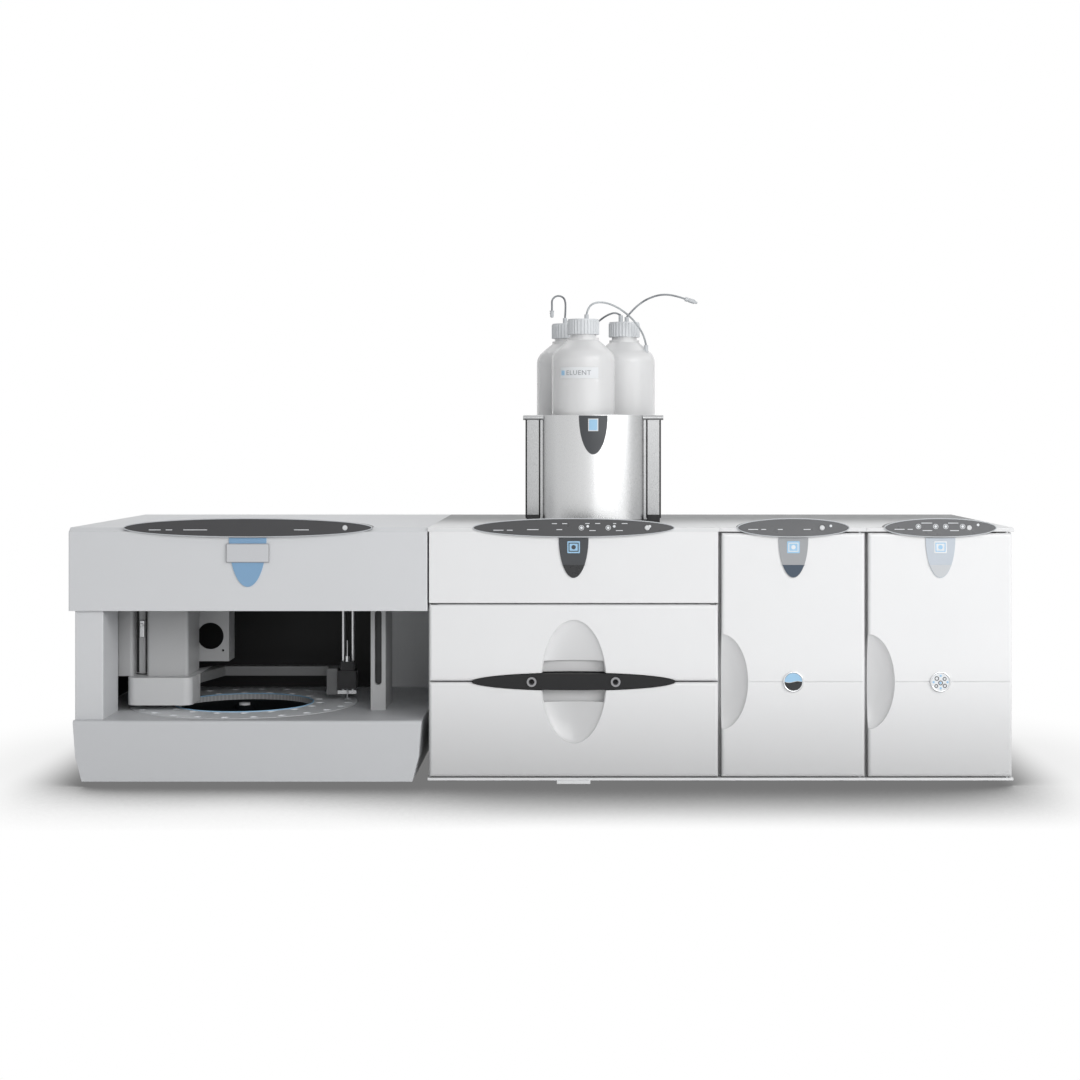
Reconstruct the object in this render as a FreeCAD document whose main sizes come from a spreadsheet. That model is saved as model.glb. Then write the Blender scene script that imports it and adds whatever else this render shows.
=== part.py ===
"""Modular ion chromatograph: autosampler, detector compartment with eluent bottles, pump and generator.

Millimetres. +X to the right, +Y to the back, +Z up. The origin is under the middle of the whole row,
on the bench. The driving sizes are in SIZES and go into the sheet; every piece is bound to them.
"""
import FreeCAD, Part

import math
import os
import re

import Sketcher

Vector = FreeCAD.Vector
Rotation = FreeCAD.Rotation

# Driving sizes: word, millimetres (or a count or degrees where the word says so)
SIZES = {
    # the row of modules
    "module_depth": 530.0,
    "module_height": 400.0,
    "module_gap": 0.3,
    "sampler_width": 556.0,
    "detector_width": 453.0,
    "pump_width": 227.0,
    "generator_width": 228.0,
    "cabinet_wall": 4.0,
    "foot_height": 8.0,
    "foot_radius": 14.0,
    "foot_inset": 34.0,
    "seat_gap": 0.3,
    # doors and fronts
    "front_setback": 8.0,
    "door_depth": 24.0,
    "door_wall": 3.0,
    "door_back_gap": 2.0,
    "door_side_gap": 2.5,
    "door_line": 2.0,
    "door_edge_radius": 5.0,
    "split_height": 161.5,
    "fascia_bottom": 283.0,
    "brow_height": 6.0,
    "pin_radius": 2.0,
    "pin_play": 0.06,
    "pin_inset": 7.0,
    "pin_setback": 8.0,
    "pin_reach": 8.0,
    "boss_radius": 5.0,
    # control pods and badges
    "pod_height": 28.0,
    "pod_depth": 34.0,
    "pod_proud": 5.0,
    "pod_lean": 9.0,
    "pod_fit": 0.5,
    "sampler_pod_width": 385.0,
    "detector_pod_width": 312.0,
    "module_pod_width": 173.0,
    "key_radius": 4.0,
    "key_length": 9.0,
    "key_play": 0.25,
    "key_travel": 1.2,
    "key_proud": 1.8,
    "key_from_end": 42.0,
    "shield_width": 46.0,
    "shield_height": 62.0,
    "sampler_shield_width": 58.0,
    "sampler_shield_height": 76.0,
    "shield_thickness": 1.6,
    "disc_radius": 16.0,
    "disc_thickness": 1.8,
    # grips
    "grip_half_width": 51.0,
    "grip_half_height": 96.0,
    "grip_depth": 17.0,
    "side_grip_half_width": 42.0,
    "side_grip_half_height": 74.0,
    "groove_width": 1.2,
    "groove_depth": 0.8,
    # the bar with the two injection ports
    "bar_width": 314.0,
    "bar_height": 26.0,
    "bar_thickness": 10.0,
    "bar_proud": 2.0,
    "bar_play": 1.2,
    "stem_height": 8.0,
    "stem_width": 200.0,
    "port_radius": 7.5,
    "port_bore": 2.2,
    "port_length": 40.0,
    "port_proud": 3.0,
    "port_spacing": 130.0,
    # what the doors hide
    "arm_width": 7.0,
    "arm_height": 8.0,
    "arm_root": 12.0,
    "sill_height": 4.0,
    "bay_depth": 190.0,
    "pump_bay_depth": 96.0,
    "generator_bay_depth": 130.0,
    "shelf_thickness": 8.0,
    "valve_radius": 30.0,
    "valve_length": 60.0,
    "valve_offset": 90.0,
    "valve_setback": 60.0,
    "rotor_radius": 22.0,
    "rotor_length": 9.0,
    "column_radius": 7.0,
    "column_length": 96.0,
    "guard_offset": 40.0,
    "column_offset": 80.0,
    "column_from_back": 26.0,
    "cell_width": 74.0,
    "cell_height": 78.0,
    "cell_depth": 110.0,
    "cell_offset": 150.0,
    "suppressor_offset": 20.0,
    "suppressor_width": 120.0,
    "suppressor_depth": 60.0,
    "suppressor_height": 44.0,
    "drain_tab_width": 52.0,
    "drain_tab_depth": 40.0,
    "drain_tab_thickness": 5.0,
    "head_radius": 27.0,
    "head_length": 62.0,
    "head_spacing": 96.0,
    "manifold_drop": 52.0,
    "knob_radius": 11.0,
    "knob_length": 13.0,
    "cartridge_radius": 34.0,
    "cartridge_length": 210.0,
    "cartridge_rise": 70.0,
    # autosampler
    "base_height": 102.0,
    "base_inset": 8.5,
    "base_taper": 14.0,
    "hood_bottom": 271.0,
    "hood_wall": 4.0,
    "hood_front_slope": 10.0,
    "column_width": 44.0,
    "column_depth": 96.0,
    "chamber_back": 150.0,
    "side_plate_width": 24.0,
    "side_plate_depth": 104.0,
    "side_plate_from_right": 76.0,
    "side_plate_setback": 118.0,
    "drive_from_left": 44.0,
    "drive_setback": 132.0,
    "drive_rise": 53.0,
    "drive_narrow_width": 27.0,
    "drive_wide_offset": 49.0,
    "drive_wide_width": 67.0,
    "drive_depth": 92.0,
    "bracket_from_left": 148.0,
    "bracket_setback": 228.0,
    "bracket_rise": 66.0,
    "bracket_width": 60.0,
    "bracket_thickness": 3.0,
    "bracket_window_radius": 22.0,
    "bracket_window_rise": 42.0,
    "bracket_flange_depth": 50.0,
    "screw_radius": 2.0,
    "bracket_hole_left": 8.0,
    "bracket_hole_high": 62.0,
    "bracket_hole_right": 50.0,
    "bracket_hole_low": 18.0,
    "arm_from_left": 66.0,
    "arm_setback": 108.0,
    "arm_foot_width": 104.0,
    "arm_foot_depth": 84.0,
    "arm_rise": 9.0,
    "beam_thickness": 16.0,
    "carousel_radius": 185.0,
    "carousel_bore": 112.0,
    "carousel_thickness": 12.0,
    "carousel_play": 1.5,
    "carousel_setback": 206.0,
    "carousel_from_left": 238.0,
    "spindle_radius": 9.0,
    "vial_radius": 6.5,
    "vial_depth": 9.0,
    "needle_from_hub": 166.0,
    "needle_behind_hub": 39.0,
    "needle_radius": 1.0,
    "needle_length": 96.0,
    "head_block_side": 30.0,
    "rod_radius": 3.0,
    "rod_offset": 8.0,
    "rods_above_base": 14.0,
    "guide_foot_left": 17.0,
    "guide_foot_width": 31.0,
    "guide_foot_depth": 10.0,
    "guide_foot_rise": 10.0,
    "guide_foot_thickness": 6.0,
    "needle_before_rods": 11.0,
    # eluent organizer and bottles
    "organizer_from_left": 149.0,
    "organizer_setback": 96.0,
    "organizer_width": 216.0,
    "organizer_depth": 254.0,
    "organizer_height": 176.0,
    "organizer_wall": 4.0,
    "organizer_foot": 8.0,
    "floor_thickness": 6.0,
    "shell_radius": 110.0,
    "shell_bulge": 36.0,
    "wing_width": 28.0,
    "wing_depth": 62.0,
    "lip_reach": 5.0,
    "rear_wall_height": 84.0,
    "bottle_radius": 51.0,
    "bottle_wall": 2.0,
    "bottle_body": 262.0,
    "shoulder_rise": 22.0,
    "neck_height": 32.0,
    "bottle_clearance": 7.0,
    "front_bottle_left": 16.0,
    "right_bottle_right": 52.0,
    "left_bottle_left": 44.0,
    "shoulder_round": 24.0,
    "base_round": 6.0,
    "neck_step": 4.0,
    "neck_radius": 21.0,
    "cap_radius": 26.0,
    "cap_height": 25.0,
    "cap_wall": 2.0,
    "cap_rib": 1.0,
    "tube_radius": 1.6,
    "fitting_radius": 3.6,
    "connector_length": 22.0,
    "strainer_length": 12.0,
    "nut_sink": 2.0,
}

COUNTS = {"vials_outer": 24, "vials_inner": 18, "cap_ribs": 30}

document = FreeCAD.newDocument("ion_chromatograph")
sheet = document.addObject("Spreadsheet::Sheet", "Sizes")
for row, (word, value) in enumerate(list(SIZES.items()) + list(COUNTS.items()), start=1):
    sheet.set(f"A{row}", word)
    sheet.set(f"B{row}", str(value))
    sheet.setAlias(f"B{row}", word)
document.recompute()
WORDS = re.compile(r"\b(" + "|".join(list(SIZES) + list(COUNTS)) + r")\b")
ACROSS_Y = Rotation(Vector(1, 0, 0), -90)
ACROSS_X = Rotation(Vector(0, 1, 0), 90)


def bound(text):
    """The same formula with every size's word read from the sheet."""
    return WORDS.sub(r"Sizes.\1", text)


def place(piece, at):
    for axis, formula in zip("xyz", at):
        piece.setExpression(f"Placement.Base.{axis}", bound(formula))


def box(label, x, y, z):
    """A block: each of x, y and z is its low side and its length."""
    piece = document.addObject("Part::Box", label)
    for side, (low, length) in zip(("Length", "Width", "Height"), (x, y, z)):
        piece.setExpression(side, bound(length))
    place(piece, (x[0], y[0], z[0]))
    return piece


def rod(label, radius, length, at, along="z"):
    piece = document.addObject("Part::Cylinder", label)
    piece.setExpression("Radius", bound(radius))
    piece.setExpression("Height", bound(length))
    if along == "y":
        piece.Placement.Rotation = ACROSS_Y
    if along == "x":
        piece.Placement.Rotation = ACROSS_X
    place(piece, at)
    return piece


def egg(label, half_x, half_y, half_z, at):
    """A whole ellipsoid with its three half axes."""
    piece = document.addObject("Part::Ellipsoid", label)
    piece.setExpression("Radius1", bound(half_z))
    piece.setExpression("Radius2", bound(half_x))
    piece.setExpression("Radius3", bound(half_y))
    piece.Angle1, piece.Angle2, piece.Angle3 = -90, 90, 360
    place(piece, at)
    return piece


def fuse(label, pieces):
    piece = document.addObject("Part::MultiFuse", label)
    piece.Shapes = pieces
    piece.Refine = True
    return piece


def common(label, pieces):
    piece = document.addObject("Part::MultiCommon", label)
    piece.Shapes = pieces
    return piece


def cut(label, base, tools):
    piece = document.addObject("Part::Cut", label)
    piece.Base = base
    piece.Tool = tools[0] if len(tools) == 1 else fuse(label + "_cutters", tools)
    piece.Refine = True
    return piece


def rounded(label, base, radius, chosen):
    """The base with the chosen edges filleted; chosen is a test of an edge's middle and direction."""
    document.recompute()
    piece = document.addObject("Part::Fillet", label)
    piece.Base = base
    size = sheet.get(radius)
    edges = []
    for number, edge in enumerate(base.Shape.Edges, start=1):
        if edge.Curve.TypeId == "Part::GeomLine" and chosen(edge.CenterOfMass, edge.Curve.Direction):
            edges.append((number, size, size))
    piece.Edges = edges
    return piece


def new_body(label):
    owner = document.addObject("PartDesign::Body", label)
    document.recompute()
    return owner


def new_sketch(owner, plane, offset="0"):
    """A sketch on one of the body's origin planes, moved along that plane's normal."""
    drawing = owner.newObject("Sketcher::SketchObject", owner.Label + "_sketch")
    face = [item for item in owner.Origin.OriginFeatures if item.Role == plane][0]
    drawing.AttachmentSupport = [(face, "")]
    drawing.MapMode = "FlatFace"
    drawing.setExpression("AttachmentOffset.Base.z", bound(offset))
    return drawing


def tie(drawing, constraint, formula):
    """Adds one constraint and binds its value to a formula."""
    number = drawing.addConstraint(constraint)
    name = f"size_{number}"
    drawing.renameConstraint(number, name)
    drawing.setExpression(f"Constraints.{name}", bound(formula))


def draw_ellipse(drawing, across, up, half_across, half_up, tall=False):
    """An ellipse with its longer axis across, or upright where tall is set."""
    first = drawing.GeometryCount
    tip = Vector(0, 2, 0) if tall else Vector(2, 0, 0)
    side = Vector(-1, 0, 0) if tall else Vector(0, 1, 0)
    drawing.addGeometry(Part.Ellipse(tip, side, Vector(0, 0, 0)), False)
    drawing.exposeInternalGeometry(first)
    drawing.addConstraint(Sketcher.Constraint("Vertical" if tall else "Horizontal", first + 1))
    longer, shorter = (half_up, half_across) if tall else (half_across, half_up)
    tie(drawing, Sketcher.Constraint("Distance", first + 1, 1, first + 1, 2, 4), f"2 * ({longer})")
    tie(drawing, Sketcher.Constraint("Distance", first + 2, 1, first + 2, 2, 2), f"2 * ({shorter})")
    tie(drawing, Sketcher.Constraint("DistanceX", first, 3, 0), across)
    tie(drawing, Sketcher.Constraint("DistanceY", first, 3, 0), up)


def draw_circle(drawing, across, up, radius):
    first = drawing.addGeometry(Part.Circle(Vector(0, 0, 0), Vector(0, 0, 1), 1), False)
    tie(drawing, Sketcher.Constraint("Radius", first, 1), radius)
    tie(drawing, Sketcher.Constraint("DistanceX", first, 3, 0), across)
    tie(drawing, Sketcher.Constraint("DistanceY", first, 3, 0), up)


def draw_outline(drawing, corners):
    """A closed outline of straight sides; each corner is two formulas."""
    count = len(corners)
    first = drawing.GeometryCount
    turns = [2 * math.pi * i / count for i in range(count)]
    ring = [Vector(math.cos(turn), math.sin(turn), 0) for turn in turns]
    for i in range(count):
        drawing.addGeometry(Part.LineSegment(ring[i], ring[(i + 1) % count]), False)
    for i, (across, up) in enumerate(corners):
        side, after = first + i, first + (i + 1) % count
        drawing.addConstraint(Sketcher.Constraint("Coincident", side, 2, after, 1))
        tie(drawing, Sketcher.Constraint("DistanceX", side, 1, 0), across)
        tie(drawing, Sketcher.Constraint("DistanceY", side, 1, 0), up)


def pad(owner, drawing, length):
    feature = owner.newObject("PartDesign::Pad", owner.Label + "_pad")
    feature.Profile = drawing
    feature.setExpression("Length", bound(length))
    drawing.Visibility = False
    return feature


def revolve(owner, drawing):
    """A full turn about the sketch's own upright axis."""
    feature = owner.newObject("PartDesign::Revolution", owner.Label + "_turned")
    feature.Profile = drawing
    feature.ReferenceAxis = (drawing, ["V_Axis"])
    feature.Angle = 360
    return feature


# Places along the row and from front to back
SAMPLER_LEFT = "(-(sampler_width + detector_width + pump_width + generator_width + 3 * module_gap) / 2)"
DETECTOR_LEFT = f"({SAMPLER_LEFT} + sampler_width + module_gap)"
PUMP_LEFT = f"({DETECTOR_LEFT} + detector_width + module_gap)"
GENERATOR_LEFT = f"({PUMP_LEFT} + pump_width + module_gap)"
FRONT = "(-module_depth / 2)"
BACK = "(module_depth / 2)"
DOOR_FRONT = "(-module_depth / 2 + front_setback)"
CABINET_FRONT = f"({DOOR_FRONT} + door_depth + door_back_gap)"
DOOR_TOP = "(module_height - brow_height - door_line)"
DOOR_BOTTOM = "(foot_height + sill_height + door_line)"
PIN_Y = f"({DOOR_FRONT} + pin_setback)"
KEY_Z = "module_height"


def oval_prism(label, middle, width, height, low_y, depth, middle_z="module_height", tall=False):
    """An upright ellipse drawn across the front and carried from low_y back over depth."""
    owner = new_body(label)
    drawing = new_sketch(owner, "XZ_Plane", f"-({low_y} + {depth})")
    draw_ellipse(drawing, middle, middle_z, f"({width}) / 2", f"({height}) / 2", tall)
    pad(owner, drawing, depth)
    return owner


def side_prism(label, low_x, length, corners):
    """An outline of Y and Z corners carried along X."""
    owner = new_body(label)
    drawing = new_sketch(owner, "YZ_Plane", low_x)
    draw_outline(drawing, corners)
    pad(owner, drawing, length)
    return owner


def front_prism(label, low_y, depth, corners):
    """An outline of X and Z corners carried along Y."""
    owner = new_body(label)
    drawing = new_sketch(owner, "XZ_Plane", f"-({low_y} + {depth})")
    draw_outline(drawing, corners)
    pad(owner, drawing, depth)
    return owner


def pod_cutter(label, middle, width, fit):
    """The room that a pod takes out of what it sits in, with a fit all round."""
    return oval_prism(label, middle, f"{width} + 2 * {fit}", f"pod_height + 2 * {fit}",
                      f"({DOOR_FRONT} - pod_proud)", "pod_depth")


def make_pod(label, middle, width):
    """An oval control pod over the front top edge, its face leaning back and its rear falling to the top."""
    whole = pod_cutter(label + "_oval", middle, width, "0")
    face = f"({DOOR_FRONT} - pod_proud)"
    half = f"({width} / 2 + 1)"
    low = "(module_height - pod_height / 2)"
    high = "(module_height + pod_height / 2)"
    front_wedge = side_prism(label + "_lean", f"({middle} - {half})", f"2 * {half}", [
        (f"{face} - 2", f"{low} - 1"),
        (face, low),
        (f"{face} + pod_lean", high),
        (f"{face} + pod_lean", f"{high} + 1"),
        (f"{face} - 2", f"{high} + 1"),
    ])
    rear_wedge = side_prism(label + "_rear", f"({middle} - {half})", f"2 * {half}", [
        (f"{face} + pod_depth", "module_height"),
        (f"{face} + pod_depth + 1", "module_height"),
        (f"{face} + pod_depth + 1", f"{high} + 1"),
        (f"{face} + pod_lean + 6", f"{high} + 1"),
        (f"{face} + pod_lean + 6", high),
    ])
    key_x = f"({middle} + {width} / 2 - key_from_end)"
    key_hole = rod(label + "_key_hole", "key_radius + key_play", "key_length + key_travel + pod_lean",
                   (key_x, face, KEY_Z), "y")
    return cut(label, whole, [front_wedge, rear_wedge, key_hole])


def make_key(label, middle, width):
    """The round power key, its crown proud of the pod's leaning face."""
    key_x = f"({middle} + {width} / 2 - key_from_end)"
    crown = f"({DOOR_FRONT} - pod_proud + pod_lean / 2 - key_proud)"
    shank = rod(label + "_shank", "key_radius", "key_length", (key_x, crown, KEY_Z), "y")
    crown_y = -sheet.get("module_depth") / 2 + sheet.get("front_setback") - sheet.get("pod_proud")
    crown_y += sheet.get("pod_lean") / 2 - sheet.get("key_proud")
    document.recompute()
    piece = document.addObject("Part::Chamfer", label)
    piece.Base = shank
    rims = [number for number, edge in enumerate(shank.Shape.Edges, start=1)
            if abs(edge.BoundBox.YMax - crown_y) < 0.01]
    bevel = sheet.get("key_radius") * 0.2
    piece.Edges = [(number, bevel, bevel) for number in rims]
    return piece


def make_shield(label, middle, width, height, back_y):
    """A bare tongue under a pod: flat on top and half an ellipse below."""
    top = "(module_height - pod_height / 2 - pod_fit - 1)"
    whole = oval_prism(label + "_oval", middle, width, f"2 * {height}", f"({back_y} - shield_thickness)",
                       "shield_thickness", top, tall=True)
    lower = box(label + "_lower", (f"{middle} - {width} / 2 - 1", f"{width} + 2"),
                (f"{back_y} - shield_thickness - 1", "shield_thickness + 2"),
                (f"{top} - {height} - 1", f"{height} + 1"))
    return common(label, [whole, lower])


def door_block(label, x, z):
    """The outer form of a door, its front edges rounded."""
    block = box(label + "_block", x, (DOOR_FRONT, "door_depth"), z)
    front = -sheet.get("module_depth") / 2 + sheet.get("front_setback")
    return rounded(label + "_form", block, "door_edge_radius",
                   lambda middle, direction: abs(middle.y - front) < 0.01)


def door_hollow(label, x, z):
    """What is taken out behind a door's front wall and between its edges."""
    return box(label + "_hollow", (f"{x[0]} + door_wall", f"{x[1]} - 2 * door_wall"),
               (f"{DOOR_FRONT} + door_wall", "door_depth"),
               (f"{z[0]} + door_wall", f"{z[1]} - 2 * door_wall"))


def make_front_door(label, left, width, pod_width):
    """A full height door hinged on its right, with a hand hollow at its left edge."""
    x = (f"({left} + door_side_gap)", f"({width} - 2 * door_side_gap)")
    z = (DOOR_BOTTOM, f"({DOOR_TOP} - {DOOR_BOTTOM})")
    block = door_block(label, x, z)
    shell = cut(label + "_shell", block, [door_hollow(label, x, z)])
    grip_at = (f"({x[0]} - 1)", f"({DOOR_FRONT} - 1)", "split_height")
    liner_egg = egg(label + "_liner_egg", "side_grip_half_width + door_wall", "grip_depth + 1 + door_wall",
                    "side_grip_half_height + door_wall", grip_at)
    liner = common(label + "_liner", [block, liner_egg])
    pin_x = f"({left} + {width} - door_side_gap - pin_inset)"
    high_boss = rod(label + "_high_boss", "boss_radius", "pin_reach + door_wall",
                    (pin_x, PIN_Y, f"{DOOR_TOP} - pin_reach - door_wall"))
    low_boss = rod(label + "_low_boss", "boss_radius", "pin_reach + door_wall", (pin_x, PIN_Y, DOOR_BOTTOM))
    solid = fuse(label + "_solid", [shell, liner, high_boss, low_boss])
    grip = egg(label + "_grip", "side_grip_half_width", "grip_depth + 1", "side_grip_half_height", grip_at)
    pod_room = pod_cutter(label + "_pod_room", f"({left} + {width} / 2)", pod_width, "pod_fit")
    swing_room = box(label + "_swing_room", (f"({left} + {width} / 2)", f"{pod_width} / 2"),
                     (f"{DOOR_FRONT} + door_wall", "door_depth"),
                     (f"{DOOR_TOP} - door_wall - 1", "door_wall + 2"))
    high_hole = rod(label + "_high_hole", "pin_radius + pin_play", "pin_reach + 1",
                    (pin_x, PIN_Y, f"{DOOR_TOP} - pin_reach"))
    low_hole = rod(label + "_low_hole", "pin_radius + pin_play", "pin_reach + 1",
                   (pin_x, PIN_Y, f"{DOOR_BOTTOM} - 1"))
    groove = box(label + "_groove", (f"{x[0]} + side_grip_half_width", f"{width}"),
                 (f"{DOOR_FRONT} - 1", "1 + groove_depth"),
                 ("split_height - groove_width / 2", "groove_width"))
    return cut(label, solid, [grip, pod_room, swing_room, high_hole, low_hole, groove])


def make_disc(label, left, width):
    """The round bare badge on a door's parting line."""
    return rod(label, "disc_radius", "disc_thickness",
               (f"({left} + {width} / 2)", f"({DOOR_FRONT} - disc_thickness)", "split_height"), "y")


def module_case(label, left, width, pod_width, bays, bay_depth):
    """A case with a lip over its door and a sill under it, and its bays open to the front."""
    shell = box(label + "_outer", (left, width), (CABINET_FRONT, f"({BACK} - {CABINET_FRONT})"),
                ("foot_height", "module_height - foot_height"))
    lip = box(label + "_lip", (left, width), (DOOR_FRONT, f"({CABINET_FRONT} - {DOOR_FRONT})"),
              ("module_height - brow_height", "brow_height"))
    sill = box(label + "_sill", (left, width), (f"{DOOR_FRONT} + 3", f"({CABINET_FRONT} - {DOOR_FRONT} - 3)"),
               ("foot_height", "sill_height"))
    whole = fuse(label + "_whole", [shell, lip, sill])
    hollows = [box(f"{label}_bay_{number}", (f"{left} + cabinet_wall", f"{width} - 2 * cabinet_wall"),
                   (f"{CABINET_FRONT} - 1", f"{bay_depth} + 1"), bay) for number, bay in enumerate(bays)]
    pod_seat = pod_cutter(label + "_pod_seat", f"({left} + {width} / 2)", pod_width, "0")
    return cut(label, whole, hollows + [pod_seat])


# The detector module, two doors over each other with the port bar between them
DETECTOR_MIDDLE = f"({DETECTOR_LEFT} + detector_width / 2)"
ARM_X = (f"({DETECTOR_LEFT} + door_side_gap + door_wall + 1)",
         f"({DETECTOR_LEFT} + detector_width - door_side_gap - door_wall - 1 - arm_width)")
UPPER_PIN_Z = "(fascia_bottom - door_line - pin_inset)"
LOWER_PIN_Z = f"({DOOR_BOTTOM} + pin_inset)"
BAR_FRONT = f"({DOOR_FRONT} - bar_proud)"
PIN_LENGTH = "door_wall + 1 + arm_width"


def bar_cutter(label, low_y, depth, play):
    return oval_prism(label, DETECTOR_MIDDLE, f"bar_width + 2 * {play}", f"bar_height + 2 * {play}",
                      low_y, depth, "split_height")


def hinge_arms():
    """Two arms for each door, from the case's side walls forward into the door to its pins."""
    arms = []
    case_right = f"({DETECTOR_LEFT} + detector_width)"
    for level, pin_z in (("upper", UPPER_PIN_Z), ("lower", LOWER_PIN_Z)):
        roots = ((DETECTOR_LEFT, f"({ARM_X[0]} + arm_width - {DETECTOR_LEFT})"),
                 (ARM_X[1], f"({case_right} - {ARM_X[1]})"))
        for side, arm_x, root in zip(("left", "right"), ARM_X, roots):
            name = f"{level}_{side}_arm"
            bar = box(name + "_bar", (arm_x, "arm_width"), (PIN_Y, f"({CABINET_FRONT} - {PIN_Y} + 1)"),
                      (f"{pin_z} - arm_height / 2", "arm_height"))
            nose = rod(name + "_nose", "arm_height / 2", "arm_width", (arm_x, PIN_Y, pin_z), "x")
            foot = box(name + "_root", root, (CABINET_FRONT, "arm_root"),
                       (f"{pin_z} - arm_height / 2", "arm_height"))
            arms += [bar, nose, foot]
    return arms


def cross_pins(prefix, radius, reach):
    """The four pins across the detector's doors, or their bores, from each door's end through its arm."""
    ends = (f"({DETECTOR_LEFT} + door_side_gap)",
            f"({DETECTOR_LEFT} + detector_width - door_side_gap - ({reach}))")
    return [rod(f"{prefix}_{level}_{side}", radius, reach, (low_x, PIN_Y, pin_z), "x")
            for level, pin_z in (("upper", UPPER_PIN_Z), ("lower", LOWER_PIN_Z))
            for side, low_x in zip(("left", "right"), ends)]


def make_detector_case():
    half_shelf = "shelf_thickness / 2"
    bays = [(f"split_height + {half_shelf}", "fascia_bottom - split_height - shelf_thickness"),
            ("foot_height + cabinet_wall", f"split_height - foot_height - cabinet_wall - {half_shelf}")]
    case = module_case("detector_case", DETECTOR_LEFT, "detector_width", "detector_pod_width", bays,
                       "bay_depth")
    with_arms = fuse("detector_case_with_arms", [case] + hinge_arms())
    return cut("detector_cabinet", with_arms, cross_pins("arm_bore", "pin_radius", PIN_LENGTH))


def make_fascia():
    """The fixed front between the case's lip and the upper door, open at its back."""
    x = (f"({DETECTOR_LEFT} + door_side_gap)", "(detector_width - 2 * door_side_gap)")
    z = ("fascia_bottom", "(module_height - brow_height - fascia_bottom)")
    block = box("fascia_block", x, (DOOR_FRONT, "door_depth + door_back_gap"), z)
    hollow = box("fascia_hollow", (f"{x[0]} + door_wall", f"{x[1]} - 2 * door_wall"),
                 (f"{DOOR_FRONT} + door_wall", "door_depth"),
                 (f"{z[0]} + door_wall", f"{z[1]} - 2 * door_wall"))
    front = -sheet.get("module_depth") / 2 + sheet.get("front_setback")
    low = sheet.get("fascia_bottom")
    form = rounded("fascia_form", block, "door_line",
                   lambda middle, direction: abs(middle.y - front) < 0.01 and abs(middle.z - low) < 0.01)
    pod_room = pod_cutter("fascia_pod_room", DETECTOR_MIDDLE, "detector_pod_width", "0")
    return cut("detector_fascia", form, [hollow, pod_room])


def grip_form(label, extra, depth_extra):
    """Half of the grip's egg, and the finger trough beside the port bar, grown by a wall."""
    whole = egg(label + "_egg", f"grip_half_width + {extra}", f"grip_depth * 0.8 + 1 + {depth_extra}",
                f"grip_half_height + {extra}", (DETECTOR_MIDDLE, f"({DOOR_FRONT} - 1)", "split_height"))
    oval = oval_prism(label + "_oval", DETECTOR_MIDDLE, f"2 * (grip_half_width - 2 + {extra})",
                      f"2 * (grip_half_height + {extra})", f"({DOOR_FRONT} - 1)",
                      f"1 + grip_depth + {depth_extra}", "split_height", tall=True)
    band = box(label + "_band",
               (f"{DETECTOR_MIDDLE} - grip_half_width - {extra}", f"2 * (grip_half_width + {extra})"),
               (f"{DOOR_FRONT} - 1", f"grip_depth + {depth_extra} + 2"),
               (f"split_height - grip_half_height / 3 - {extra}", f"2 * (grip_half_height / 3 + {extra})"))
    return [whole, common(label + "_trough", [oval, band])]


def make_detector_door(label, z, pin_z, wall_side):
    """One of the two drop and lift doors; wall_side says where the hinge edge lies."""
    x = (f"({DETECTOR_LEFT} + door_side_gap)", "(detector_width - 2 * door_side_gap)")
    block = door_block(label, x, z)
    shell = cut(label + "_shell", block, [door_hollow(label, x, z)])
    liner_form = fuse(label + "_liner_form", grip_form(label + "_outer", "door_wall", "door_wall"))
    liner = common(label + "_liner", [block, liner_form])
    right_end = f"({x[0]} + {x[1]})"
    solid = fuse(label + "_solid", [shell, liner])
    notches = [box(f"{label}_notch_{side}", (f"{arm_x} - 1", "arm_width + 2"),
                   (f"{PIN_Y} - boss_radius", "door_depth"),
                   (f"{wall_side} - door_wall", "2 * door_wall"))
               for side, arm_x in zip(("left", "right"), ARM_X)]
    holes = [rod(f"{label}_hole_{side}", "pin_radius + pin_play", "door_wall + 2", (low_x, PIN_Y, pin_z), "x")
             for side, low_x in (("left", f"({x[0]} - 1)"), ("right", f"({right_end} - door_wall - 1)"))]
    bar_room = bar_cutter(label + "_bar_room", f"({DOOR_FRONT} - 1)", "door_depth + 2", "bar_play")
    return cut(label, solid, grip_form(label + "_inner", "0", "0") + notches + holes + [bar_room])


def make_port_bar():
    """The dark oval bar with its two port bores, on a stem from the shelf."""
    bar = bar_cutter("bar_oval", BAR_FRONT, "bar_thickness", "0")
    stem = box("bar_stem", (f"{DETECTOR_MIDDLE} - stem_width / 2", "stem_width"),
               (f"{BAR_FRONT} + bar_thickness - 1", f"({CABINET_FRONT} - {BAR_FRONT} - bar_thickness + 1)"),
               ("split_height - stem_height / 2", "stem_height"))
    form = fuse("bar_form", [bar, stem])
    seats = [rod(f"bar_seat_{side}", "port_radius", "bar_thickness / 2 + 1",
                 (f"({DETECTOR_MIDDLE} + {sign} * port_spacing / 2)", f"({BAR_FRONT} - 1)", "split_height"),
                 "y")
             for side, sign in (("left", "-1"), ("right", "1"))]
    return cut("port_bar", form, seats)


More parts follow.
